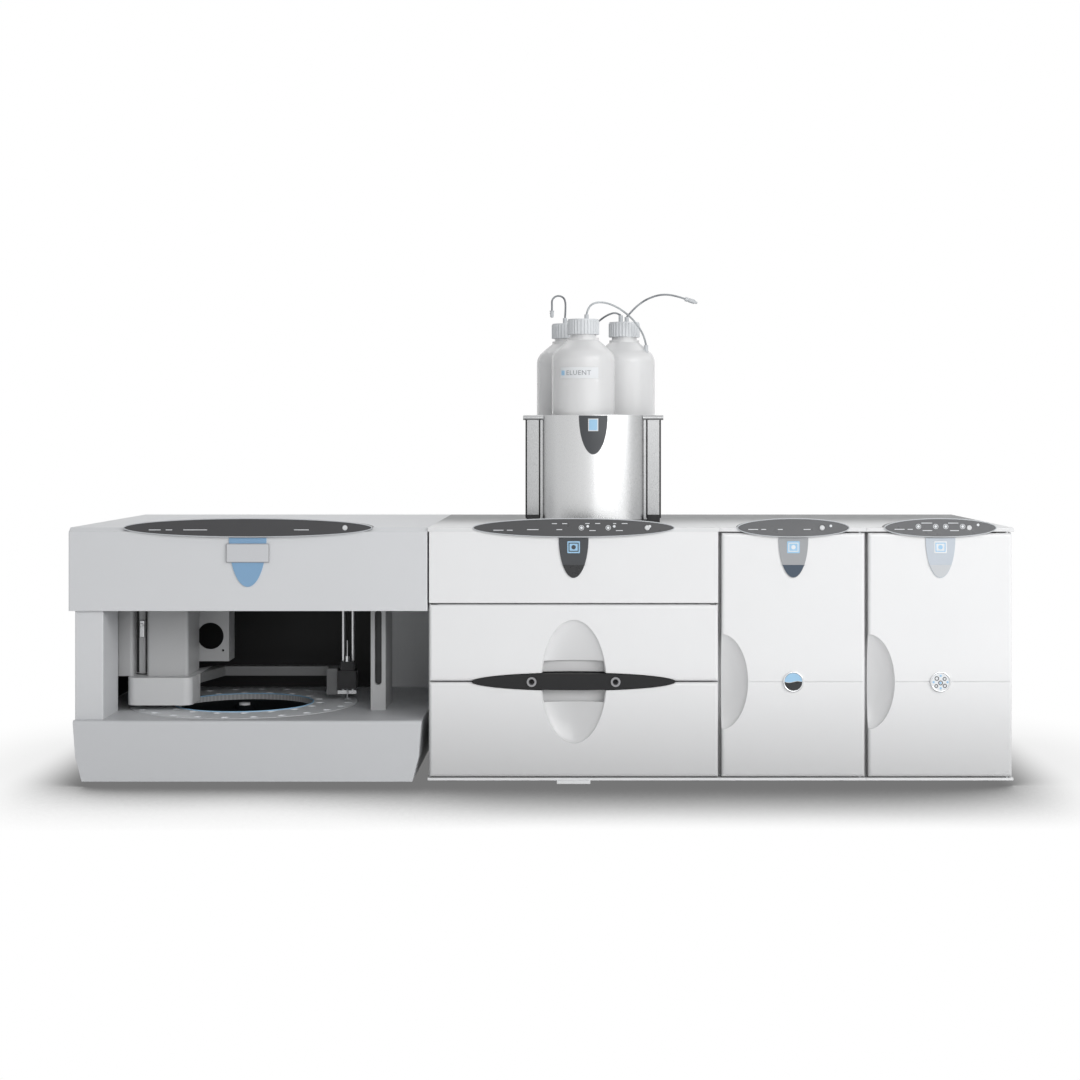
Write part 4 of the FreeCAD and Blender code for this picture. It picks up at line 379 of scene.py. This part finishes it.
# The four tubes over the bottles, along the same points as their CAD routes, in metres
TUBE_DIAMETER = 0.0032
HOOK_ROUTE = [(0.0334, 0.0230, 0.7420), (0.0344, 0.0226, 0.7560), (0.0340, 0.0230, 0.7730),
              (0.0272, 0.0230, 0.7796), (0.0178, 0.0230, 0.7796), (0.0110, 0.0230, 0.7730),
              (0.0114, 0.0226, 0.7635), (0.0112, 0.0230, 0.7550)]
BRIDGE_ROUTE = [(0.0700, -0.1050, 0.7400), (0.0725, -0.1044, 0.7510), (0.0820, -0.1015, 0.7595),
                (0.0980, -0.0950, 0.7610), (0.1150, -0.0880, 0.7560), (0.1310, -0.0790, 0.7470),
                (0.1470, -0.0680, 0.7340), (0.1600, -0.0570, 0.7170), (0.1666, -0.0490, 0.7030),
                (0.1686, -0.0460, 0.6930)]
LINK_ROUTE = [(0.0730, 0.0080, 0.7020), (0.0760, 0.0060, 0.7160), (0.0840, 0.0000, 0.7290),
              (0.0960, -0.0070, 0.7400), (0.1090, -0.0130, 0.7470), (0.1200, -0.0175, 0.7490),
              (0.1270, -0.0205, 0.7440)]
REACH_ROUTE = [(0.1370, -0.0230, 0.7410), (0.1430, -0.0232, 0.7480), (0.1550, -0.0230, 0.7605),
               (0.1720, -0.0226, 0.7720), (0.1940, -0.0230, 0.7790), (0.2160, -0.0234, 0.7775),
               (0.2340, -0.0230, 0.7715)]


def make_tube(name, route, finish, node):
    """A tube on a smooth line through its route, in place of its CAD node, which it hides."""
    curve = bpy.data.curves.new(name, "CURVE")
    curve.dimensions = "3D"
    curve.bevel_depth = TUBE_DIAMETER / 2
    curve.bevel_resolution = 6
    curve.resolution_u = 12
    curve.use_fill_caps = True
    line = curve.splines.new("NURBS")
    line.points.add(len(route) - 1)
    for point, at in zip(line.points, route):
        point.co = (*at, 1)
    line.order_u = 3
    line.use_endpoint_u = True
    curve.materials.append(finish.material)
    tube = bpy.data.objects.new(name, curve)
    bpy.context.collection.objects.link(tube)
    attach(tube, "instrument")
    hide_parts(node)


# Thin printed or stuck-on shapes
class Print:
    """Flat shapes laid on a face: across is the row's X, and up runs along the face."""

    def __init__(self, origin, up=(0, 0, 1)):
        self.mesh = bmesh.new()
        self.origin = Vector(origin)
        self.up = Vector(up).normalized()
        self.out = Vector((1, 0, 0)).cross(self.up)

    def at(self, across, up, out=0.0):
        """The point so far across, up and out from the origin."""
        return self.origin + Vector((across, 0, 0)) + self.up * up + self.out * out

    def shape(self, outline, inner=None, thick=0.0003, lift=0.0):
        """An outline, or the band between two outlines with as many points, made thick."""
        low = [self.mesh.verts.new(self.at(x, z, lift - 0.0002)) for x, z in outline]
        high = [self.mesh.verts.new(self.at(x, z, lift + thick)) for x, z in outline]
        count = len(outline)
        for i in range(count):
            j = (i + 1) % count
            self.mesh.faces.new((low[i], low[j], high[j], high[i]))
        if inner is None:
            self.mesh.faces.new(high)
            self.mesh.faces.new(list(reversed(low)))
            return
        low_in = [self.mesh.verts.new(self.at(x, z, lift - 0.0002)) for x, z in inner]
        high_in = [self.mesh.verts.new(self.at(x, z, lift + thick)) for x, z in inner]
        for i in range(count):
            j = (i + 1) % count
            self.mesh.faces.new((high[i], high[j], high_in[j], high_in[i]))
            self.mesh.faces.new((low_in[i], low_in[j], low[j], low[i]))
            self.mesh.faces.new((high_in[i], high_in[j], low_in[j], low_in[i]))

    def circle(self, across, up, radius, count=32):
        """The outline of a circle."""
        turns = [2 * math.pi * i / count for i in range(count)]
        return [(across + radius * math.cos(turn), up + radius * math.sin(turn)) for turn in turns]

    def disc(self, across, up, radius, **how):
        """A round spot."""
        self.shape(self.circle(across, up, radius), **how)

    def ring(self, across, up, radius, width, **how):
        """A round band, its width measured inwards."""
        self.shape(self.circle(across, up, radius), self.circle(across, up, radius - width), **how)

    def bar(self, across, up, width, height, corner=0.0, **how):
        """A bar with round corners."""
        corner = corner or min(width, height) * 0.4
        points = []
        for middle_x, middle_z, start in ((1, 1, 0), (-1, 1, 90), (-1, -1, 180), (1, -1, 270)):
            for step in range(5):
                turn = math.radians(start + step * 22.5)
                points.append((across + middle_x * (width / 2 - corner) + corner * math.cos(turn),
                               up + middle_z * (height / 2 - corner) + corner * math.sin(turn)))
        self.shape(points, **how)

    def done(self, name, finish, body):
        """All the shapes as one piece."""
        piece_from(name, self.mesh, finish, body)


def piece_from(name, mesh, finish, body, smooth=False):
    """The finished mesh as a piece of the object that moves with a CAD body."""
    bmesh.ops.recalc_face_normals(mesh, faces=mesh.faces)
    data = bpy.data.meshes.new(name)
    mesh.to_mesh(data)
    mesh.free()
    for face in data.polygons:
        face.use_smooth = smooth
    data.materials.append(finish.material)
    piece = bpy.data.objects.new(name, data)
    bpy.context.collection.objects.link(piece)
    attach(piece, body)
    return piece


def swept(mesh, path, radius, closed=False, count=12):
    """A round rod along a path of points, added to the mesh."""
    path = [Vector(point) for point in path]
    total = len(path)
    rings = []
    for i, point in enumerate(path):
        before = path[(i - 1) % total] if closed or i else point
        after = path[(i + 1) % total] if closed or i < total - 1 else point
        ahead = (after - before).normalized()
        side = ahead.cross(Vector((0.13, 0.97, 0.21))).normalized()
        lift = side.cross(ahead)
        ring = []
        for step in range(count):
            turn = 2 * math.pi * step / count
            ring.append(mesh.verts.new(point + (side * math.cos(turn) + lift * math.sin(turn)) * radius))
        rings.append(ring)
    pairs = total if closed else total - 1
    for i in range(pairs):
        first, second = rings[i], rings[(i + 1) % total]
        for step in range(count):
            after = (step + 1) % count
            mesh.faces.new((first[step], first[after], second[after], second[step]))
    if not closed:
        mesh.faces.new(rings[0])
        mesh.faces.new(list(reversed(rings[-1])))


def soft_block(mesh, low, high, corner):
    """A block with rounded edges, added to the mesh."""
    made = bmesh.ops.create_cube(mesh, size=1.0)["verts"]
    low, high = Vector(low), Vector(high)
    for vert in made:
        vert.co = Vector(low[i] + (vert.co[i] + 0.5) * (high[i] - low[i]) for i in range(3))
    edges = list({edge for vert in made for edge in vert.link_edges})
    bmesh.ops.bevel(mesh, geom=edges, offset=corner, segments=3, profile=0.5, affect="EDGES")


def turned(mesh, profile, at, ahead, count=24):
    """A solid turned about a line from a point, its profile given as distances along and radii."""
    ahead = Vector(ahead).normalized()
    side = ahead.orthogonal().normalized()
    lift = ahead.cross(side)
    rings = []
    for along, radius in profile:
        ring = []
        for step in range(count):
            turn = 2 * math.pi * step / count
            out = side * math.cos(turn) + lift * math.sin(turn)
            ring.append(mesh.verts.new(Vector(at) + ahead * along + out * radius))
        rings.append(ring)
    for first, second in zip(rings, rings[1:]):
        for step in range(count):
            after = (step + 1) % count
            mesh.faces.new((first[step], first[after], second[after], second[step]))
    mesh.faces.new(rings[0])
    mesh.faces.new(list(reversed(rings[-1])))


def make_strainer():
    """The small strainer that hangs from the hooked tube, waisted and ribbed."""
    mesh = bmesh.new()
    turned(mesh, [(0.0, 0.0022), (0.0004, 0.0037), (0.0022, 0.0037), (0.0026, 0.0031), (0.0036, 0.0031),
                  (0.0040, 0.0037), (0.0052, 0.0037), (0.0056, 0.0032), (0.0108, 0.0029), (0.0120, 0.0018)],
           HOOK_ROUTE[-1], (0, 0, -1))
    return piece_from("hook_strainer", mesh, LIGHT_GREY, "instrument")


def make_connector():
    """The connector on the free tube's end: a ferrule, a knurled nut and a short barb."""
    mesh = bmesh.new()
    ahead = Vector(REACH_ROUTE[-1]) - Vector(REACH_ROUTE[-2])
    turned(mesh, [(0.0, 0.0020), (0.0006, 0.0037), (0.0050, 0.0037), (0.0056, 0.0032), (0.0068, 0.0032),
                  (0.0074, 0.0037), (0.0170, 0.0037), (0.0176, 0.0030), (0.0180, 0.0021), (0.0216, 0.0021),
                  (0.0219, 0.0016)],
           REACH_ROUTE[-1], ahead)
    return piece_from("tube_connector", mesh, LIGHT_GREY, "instrument")


strainer = make_strainer()
connector = make_connector()
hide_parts("tube_ends")
make_tube("hook_line", HOOK_ROUTE, TUBE, "hook_tube")
make_tube("bridge_line", BRIDGE_ROUTE, CLEAR_TUBE, "bridge_tube")
make_tube("link_line", LINK_ROUTE, TUBE, "link_tube")
make_tube("reach_line", REACH_ROUTE, TUBE, "reach_tube")


# Control pods: a rim round each, ring keys, lamps and short printed bars, placed from the pod's middle
POD_LEAN = (0, 0.009, 0.028)
POD_FACE_Y = -0.2575
POD_Z = 0.400
POD_HALF_HEIGHT = 0.014


def middle_across(name):
    """The X of a node's middle, and half its width."""
    low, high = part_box(name)
    return (low[0] + high[0]) / 2, (high[0] - low[0]) / 2


def face_middle(name):
    """The middle of a node's front face."""
    low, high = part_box(name)
    return (low[0] + high[0]) / 2, low[1], (low[2] + high[2]) / 2


def circle_path(count, point):
    """A closed path of points, each from the cosine and sine of its turn."""
    turns = [2 * math.pi * step / count for step in range(count)]
    return [point(math.cos(turn), math.sin(turn)) for turn in turns]


def dress_pod(name, rings, lamps, bars):
    """A pod's printed rings, lamps and bars, and the rim round its face."""
    middle, half = middle_across(name)
    marks = Print((middle, POD_FACE_Y, POD_Z), POD_LEAN)
    for across, up in rings:
        marks.ring(across, up, 0.0041, 0.0008)
        marks.disc(across, up, 0.0022)
    for across, up in lamps:
        marks.disc(across, up, 0.0021)
    for across, up, width in bars:
        marks.bar(across, up, width, 0.0011)
    marks.done(name + "_print", PRINT_WHITE, "instrument")
    rim = bmesh.new()
    up = Vector(POD_LEAN).normalized()
    out = Vector((1, 0, 0)).cross(up)
    centre = Vector((middle, POD_FACE_Y, POD_Z)) + out * 0.0001
    half_up = POD_HALF_HEIGHT / up.z
    path = circle_path(96, lambda x, z: centre + Vector((half * x * 0.999, 0, 0)) + up * half_up * z)
    swept(rim, path, 0.0008, closed=True, count=8)
    piece_from(name + "_rim", rim, LIGHT_GREY, "instrument", smooth=True)


# Each ring and lamp as across and up, each bar as across, up and width, in metres from the pod's middle
POD_MARKS = {
    "sampler_pod": {
        "rings": [],
        "lamps": [],
        "bars": [(-0.1438, -0.0034, 0.0187), (-0.1219, -0.0034, 0.0102), (-0.0812, -0.0034, 0.037),
                 (0.0834, -0.0034, 0.023)],
    },
    "detector_pod": {
        "rings": [(0.0121, 0.0), (0.0536, 0.0)],
        "lamps": [(0.0218, 0.0023), (0.0629, 0.0023), (0.118, 0.0023)],
        "bars": [(-0.1165, -0.0039, 0.0158), (-0.0989, -0.0039, 0.009), (-0.0632, -0.003, 0.018),
                 (-0.0222, -0.003, 0.009), (-0.0298, 0.0066, 0.008), (-0.014, 0.0066, 0.008),
                 (0.0213, 0.0068, 0.0068), (0.0372, 0.0068, 0.0079), (0.0292, -0.0045, 0.01),
                 (0.0635, 0.0068, 0.005), (0.079, 0.0068, 0.009), (0.0708, -0.0045, 0.0108)],
    },
    "pump_pod": {
        "rings": [],
        "lamps": [(0.0582, 0.003)],
        "bars": [(-0.0623, -0.0027, 0.0154), (-0.046, -0.0027, 0.0077), (-0.0202, -0.0027, 0.0077),
                 (0.0213, -0.0027, 0.011)],
    },
    "generator_pod": {
        "rings": [(-0.0339, 0.002), (-0.0072, 0.002), (0.0084, 0.002), (0.0345, 0.002)],
        "lamps": [(0.0586, 0.0046)],
        "bars": [(-0.0634, -0.0025, 0.0156), (-0.047, -0.0025, 0.008), (-0.0204, -0.0045, 0.015),
                 (0.0215, -0.0045, 0.014), (-0.0206, 0.0075, 0.017), (0.0202, 0.0075, 0.016)],
    },
}
for name, marks in POD_MARKS.items():
    dress_pod(name, **marks)


# Shields: pale squares and a darker foot, no lettering
def half_oval(half_width, height, low, count=24):
    """The part of a tongue's outline below a level, from its top down."""
    points = []
    for step in range(count + 1):
        turn = math.pi + math.pi * step / count
        x, z = half_width * math.cos(turn), height * math.sin(turn)
        points.append((x, min(z, low)))
    return points


SHIELD_TOP = 0.3845


def dress_shield(name, body, square, foot, frame_finish):
    """A square mark near the top of a tongue, and the darker foot of the tongue."""
    middle, face_y, _ = face_middle(name)
    mark = Print((middle, face_y, SHIELD_TOP))
    mark.bar(0.0, -0.0145, 0.0195, 0.0185, corner=0.0012)
    mark.done(name + "_square", square, body)
    if frame_finish:
        edge = Print((middle, face_y, SHIELD_TOP))
        outline = [(-0.0078, -0.0215), (0.0078, -0.0215), (0.0078, -0.0075), (-0.0078, -0.0075)]
        inner = [(x * 0.82, -0.0145 + (z + 0.0145) * 0.80) for x, z in outline]
        edge.shape(outline, inner, lift=0.0003)
        edge.disc(0.0, -0.0145, 0.0034, lift=0.0003)
        edge.done(name + "_square_frame", frame_finish, body)
    base = Print((middle, face_y, SHIELD_TOP))
    base.shape(half_oval(0.0226, 0.0612, -0.0420))
    base.done(name + "_foot", foot, body)


dress_shield("detector_shield", "instrument", PALE_BLUE, CHARCOAL, SLATE)
dress_shield("pump_shield", "pump_front", PALE_BLUE, SHIELD_FOOT, PRINT_WHITE)
dress_shield("generator_shield", "generator_front", PRINT_WHITE, LIGHT_GREY, PALE_BLUE)


def dress_sampler_shield():
    """The bare metal plate across the blue tongue."""
    middle, face, _ = face_middle("sampler_shield")
    front = face - 0.0022
    plate = bmesh.new()
    soft_block(plate, (middle - 0.033, front, 0.3463), (middle + 0.034, face + 0.0002, 0.3757), 0.0007)
    piece_from("sampler_name_plate", plate, ALUMINIUM, "instrument")
    edge = Print((middle, front, 0.361))
    rim = [(-0.0325, -0.0142), (0.0335, -0.0142), (0.0335, 0.0142), (-0.0325, 0.0142)]
    edge.shape(rim, [(x * 0.975, z * 0.95) for x, z in rim], thick=0.0002)
    edge.done("sampler_name_plate_rim", DARK_STEEL, "instrument")


dress_sampler_shield()


# Round badges on the two tall doors, with generic marks
BADGE_RING_RADIUS = 0.0148
BADGE_MARK_RADIUS = 0.0134


def badge_ring(name, body):
    """The chromed ring round a badge."""
    x, face, z = face_middle(name)
    ring = bmesh.new()
    path = circle_path(64, lambda across, up: (x + BADGE_RING_RADIUS * across, face - 0.0002,
                                               z + BADGE_RING_RADIUS * up))
    swept(ring, path, 0.0013, closed=True, count=10)
    piece_from(name + "_ring", ring, CHROME, body, smooth=True)


def dress_badge(name, body):
    """A round badge with a pale and a dark half parted by a wave."""
    badge_ring(name, body)
    radius = BADGE_MARK_RADIUS
    for half, sign, finish in (("upper", 1, PALE_BLUE), ("lower", -1, CHARCOAL)):
        mark = Print(face_middle(name))
        points = []
        for step in range(25):
            turn = math.pi * step / 24
            points.append((radius * math.cos(turn), sign * radius * math.sin(turn)))
        for step in range(1, 12):
            across = radius * (step / 6 - 1)
            points.append((across, 0.0012 * math.sin(across / radius * math.pi) + sign * 0.0003))
        mark.shape(points)
        mark.done(f"{name}_{half}", finish, body)


def dress_spotted_badge(name, body):
    """A round badge with rings and spots on white."""
    badge_ring(name, body)
    x, face, z = face_middle(name)
    ground = Print((x, face, z))
    ground.disc(0.0, 0.0, 0.0136)
    ground.done(name + "_ground", PRINT_WHITE, body)
    spots = Print((x, face - 0.0003, z))
    for across, up, radius in ((-0.0058, 0.0052, 0.0034), (0.0062, 0.0046, 0.0030), (0.0, -0.0016, 0.0036),
                               (-0.0066, -0.0064, 0.0028), (0.0066, -0.0062, 0.0032)):
        spots.ring(across, up, radius, 0.0011)
    spots.done(name + "_spots", SLATE, body)
    bright = Print((x, face - 0.0003, z))
    for across, up in ((0.0002, 0.0094), (0.0002, -0.0098), (0.0, -0.0016), (-0.0108, -0.0004),
                       (0.0108, -0.0004)):
        bright.disc(across, up, 0.0017)
    bright.done(name + "_lights", PALE_BLUE, body)


dress_badge("pump_disc", "pump_front")
dress_spotted_badge("generator_disc", "generator_front")


def dress_organizer():
    """Dark rubber edging and boots on the organizer's wings."""
    low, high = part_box("eluent_organizer")
    left, right = low[0] + 0.005, high[0] - 0.005
    top, floor, face = high[2] - 0.002, low[2], -0.133
    for side, outer, sign in (("left", left, 1), ("right", right, -1)):
        inner = outer + sign * 0.0215
        edging = bmesh.new()
        swept(edging, [(outer, face, floor + 0.002), (outer, face, top - 0.003),
                       (outer + sign * 0.002, face, top), (inner - sign * 0.003, face, top),
                       (inner, face, top - 0.003), (inner, face, top - 0.08), (inner, face, floor + 0.002)],
              0.0013)
        piece_from(f"wing_edging_{side}", edging, RUBBER, "instrument", smooth=True)
        boot = bmesh.new()
        soft_block(boot, (min(outer, inner) + 0.0005, face - 0.004, floor - 0.0075),
                   (max(outer, inner) - 0.0005, face + 0.006, floor + 0.0075), 0.0015)
        piece_from(f"wing_boot_{side}", boot, RUBBER, "instrument")


dress_organizer()


def on_drum(middle, depth, turn, z):
    """A point round an upright drum, by its turn from the front."""
    return middle[0] + depth * math.sin(turn), middle[1] - depth * math.cos(turn), z


def curved_patch(name, middle, radius, turn_low, turn_high, z_low, z_high, finish):
    """A thin label wrapped on an upright drum, between two angles from the front."""
    thick, count = 0.0004, 24
    mesh = bmesh.new()
    rows = []
    for depth in (radius, radius + thick):
        for z in (z_low, z_high):
            row = []
            for step in range(count + 1):
                turn = turn_low + (turn_high - turn_low) * step / count
                row.append(mesh.verts.new(on_drum(middle, depth, turn, z)))
            rows.append(row)
    order = (rows[0], rows[1], rows[3], rows[2])
    for step in range(count):
        for first, second in zip(order, order[1:] + order[:1]):
            mesh.faces.new((first[step], first[step + 1], second[step + 1], second[step]))
    for step in (0, count):
        mesh.faces.new([row[step] for row in order])
    piece_from(name, mesh, finish, "instrument")


def curved_word(name, word, middle, radius, turn, z_low, height, finish):
    """A plain word standing a little proud of an upright drum."""
    font = bpy.data.curves.new(name + "_outline", "FONT")
    font.body = word
    font.size = height / 0.7
    font.space_character = 1.12
    font.extrude = 0.00012
    font.resolution_u = 2
    holder = bpy.data.objects.new(name + "_outline", font)
    mesh = bmesh.new()
    mesh.from_mesh(holder.to_mesh())
    holder.to_mesh_clear()
    for vert in mesh.verts:
        across, up, out = vert.co
        vert.co = on_drum(middle, radius + out, turn + across / radius, z_low + up)
    bpy.data.objects.remove(holder)
    bpy.data.curves.remove(font)
    piece_from(name, mesh, finish, "instrument")


SHELL_MIDDLE = (0.08085, -0.059)
FRONT_BOTTLE = (0.06485, -0.107)
curved_word("bottle_word", "ELUENT", FRONT_BOTTLE, 0.0516, -0.56, 0.6401, 0.0075, PRINT_GREY)
curved_patch("bottle_mark", FRONT_BOTTLE, 0.0515, -0.74, -0.62, 0.6398, 0.6474, PALE_BLUE)
curved_patch("bottle_label", FRONT_BOTTLE, 0.0511, -0.79, 0.49, 0.6347, 0.6525, PRINT_WHITE)
curved_patch("organizer_square", SHELL_MIDDLE, 0.1116, -0.072, 0.072, 0.5500, 0.5700, PRINT_WHITE)
curved_patch("organizer_square_inner", SHELL_MIDDLE, 0.1119, -0.058, 0.058, 0.5514, 0.5686, PALE_BLUE)


def dress_carousel():
    """The bright inner rim of the carousel's deck."""
    low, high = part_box("vial_carousel")
    x, y, radius = (low[0] + high[0]) / 2, (low[1] + high[1]) / 2, CAROUSEL_WEB_RADIUS + 0.0007
    rim = bmesh.new()
    path = circle_path(96, lambda across, deep: (x + radius * across, y + radius * deep, high[2] + 0.0002))
    swept(rim, path, 0.0012, closed=True, count=10)
    piece_from("carousel_rim", rim, PALE_BLUE, "carousel", smooth=True)


dress_carousel()


SLOT_LOW = 0.148
SLOT_HIGH = 0.257
SLOT_WIDTH = 0.0106


def dress_chamber():
    """The chamber's black left liner, the shade in its slots and the drive's slider."""
    low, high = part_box("left_column")
    liner = bmesh.new()
    soft_block(liner, (low[0] + 0.001, high[1] - 0.001, low[2] + 0.0003), (low[0] + 0.003, 0.1465, 0.3955),
               0.0006)
    piece_from("chamber_liner", liner, BLACK_SHEET, "instrument")
    low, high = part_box("side_plate")
    slot = Print(((low[0] + high[0]) / 2, low[1] + 0.0079, 0.0))
    slot.bar(0.0, (SLOT_LOW + SLOT_HIGH) / 2, SLOT_WIDTH, SLOT_HIGH - SLOT_LOW + SLOT_WIDTH, corner=0.0052)
    slot.done("side_slot_shade", BLACK_SHEET, "instrument")
    low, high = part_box("drive_housing")
    gaps = Print((low[0], low[1] + 0.0259, 0.0))
    for across in (0.0300, 0.0460):
        gaps.bar(across, (low[2] + high[2]) / 2, 0.0054, high[2] - low[2] - 0.006, corner=0.0004)
    gaps.done("drive_slot_shade", BLACK_SHEET, "instrument")
    slider = bmesh.new()
    soft_block(slider, (low[0] + 0.0338, low[1] + 0.0140, 0.216),
               (low[0] + 0.0422, low[1] + 0.0183, 0.244), 0.0012)
    turned(slider, [(0.0, 0.0020), (0.0006, 0.0028), (0.0026, 0.0028), (0.0030, 0.0022)],
           (low[0] + 0.038, low[1] + 0.0142, 0.236), (0, -1, 0))
    piece_from("drive_slider", slider, STEEL, "instrument")


dress_chamber()


# Studio: a pale floor with a painted shadow, a white surround, light mostly from the front
SHADOW_REACH = 0.34
SHADOW_POWER = 3.3
SHADOW_FLOOR = 0.18


def seen_rays(nodes, links):
    """1 for rays from the camera and those mirrored or bent by the object, 0 for the light's own."""
    rays = nodes.new("ShaderNodeLightPath")
    seen = rays.outputs["Is Camera Ray"]
    for kind in ("Is Glossy Ray", "Is Transmission Ray"):
        either = nodes.new("ShaderNodeMath")
        either.operation = "MAXIMUM"
        links.new(seen, either.inputs[0])
        links.new(rays.outputs[kind], either.inputs[1])
        seen = either.outputs[0]
    return seen


def mix_seen(nodes, links, lit, shown, output):
    """One shader for the light and another for what is seen, at the tree's output."""
    mix = nodes.new("ShaderNodeMixShader")
    links.new(seen_rays(nodes, links), mix.inputs[0])
    links.new(lit.outputs[0], mix.inputs[1])
    links.new(shown.outputs[0], mix.inputs[2])
    links.new(mix.outputs[0], nodes[output].inputs["Surface"])


def contact_shadow(nodes, links):
    """The floor's brightness, a painted shadow: shaded near the object, clear beside the row's two ends."""
    contact = nodes.new("ShaderNodeAmbientOcclusion")
    contact.samples = 16
    contact.inputs["Distance"].default_value = SHADOW_REACH
    deeper = nodes.new("ShaderNodeMath")
    deeper.operation = "POWER"
    deeper.inputs[1].default_value = SHADOW_POWER
    links.new(contact.outputs["AO"], deeper.inputs[0])
    lifted = nodes.new("ShaderNodeMath")
    lifted.operation = "SMOOTH_MAX"
    lifted.inputs[1].default_value = SHADOW_FLOOR
    lifted.inputs[2].default_value = 0.1
    links.new(deeper.outputs[0], lifted.inputs[0])
    place = nodes.new("ShaderNodeTexCoord")
    parts = nodes.new("ShaderNodeSeparateXYZ")
    links.new(place.outputs["Object"], parts.inputs[0])
    aside = nodes.new("ShaderNodeMath")
    aside.operation = "ABSOLUTE"
    links.new(parts.outputs["X"], aside.inputs[0])
    fade = nodes.new("ShaderNodeMapRange")
    fade.interpolation_type = "SMOOTHSTEP"
    for socket, number in (("From Min", 0.71), ("From Max", 0.85), ("To Min", 0.0), ("To Max", 0.8)):
        fade.inputs[socket].default_value = number
    links.new(aside.outputs[0], fade.inputs["Value"])
    shadow = nodes.new("ShaderNodeMix")
    links.new(fade.outputs["Result"], shadow.inputs[0])
    links.new(lifted.outputs[0], shadow.inputs[2])
    shadow.inputs[3].default_value = 1.0
    return shadow.outputs[0]


def make_floor():
    """A wide pale floor that shows white with a painted shadow of the object."""
    mesh = bmesh.new()
    bmesh.ops.create_grid(mesh, x_segments=4, y_segments=4, size=14.0)
    data = bpy.data.meshes.new("floor")
    mesh.to_mesh(data)
    mesh.free()
    floor = bpy.data.objects.new("floor", data)
    floor.location = (0, 0, -0.0002)
    bpy.context.collection.objects.link(floor)
    material = bpy.data.materials.new("floor")
    material.use_nodes = True
    nodes, links = material.node_tree.nodes, material.node_tree.links
    shader = nodes["Principled BSDF"]
    shader.inputs["Base Color"].default_value = (0.9, 0.9, 0.9, 1)
    shader.inputs["Roughness"].default_value = 0.9
    white = nodes.new("ShaderNodeEmission")
    links.new(contact_shadow(nodes, links), white.inputs["Strength"])
    mix_seen(nodes, links, shader, white, "Material Output")
    data.materials.append(material)


def make_world():
    """A white surround whose light on the object is about half as strong."""
    world = bpy.data.worlds.new("surround")
    world.use_nodes = True
    bpy.context.scene.world = world
    nodes, links = world.node_tree.nodes, world.node_tree.links
    light = nodes["Background"]
    light.inputs["Color"].default_value = (0.985, 0.99, 1.0, 1)
    light.inputs["Strength"].default_value = 0.46
    white = nodes.new("ShaderNodeBackground")
    white.inputs["Color"].default_value = (1, 1, 1, 1)
    mix_seen(nodes, links, light, white, "World Output")


def make_lamp(name, at, aim, size, watts):
    """A rectangular soft lamp aimed at a point."""
    data = bpy.data.lights.new(name, "AREA")
    data.shape = "RECTANGLE"
    data.size, data.size_y = size
    data.energy = watts
    lamp = bpy.data.objects.new(name, data)
    lamp.location = at
    lamp.rotation_euler = (Vector(aim) - Vector(at)).to_track_quat("-Z", "Y").to_euler()
    bpy.context.collection.objects.link(lamp)


make_floor()
make_world()
make_lamp("front_softbox", (1.4, -3.4, 1.5), (0.2, 0.0, 0.3), (2.6, 1.8), 43)
make_lamp("right_softbox", (2.6, -2.2, 1.4), (0.3, 0.0, 0.3), (1.4, 1.6), 24)
make_lamp("top_softbox", (0.2, 1.2, 2.4), (0.0, 0.1, 0.3), (2.6, 1.2), 11)

bpy.context.scene.view_settings.view_transform = "Standard"
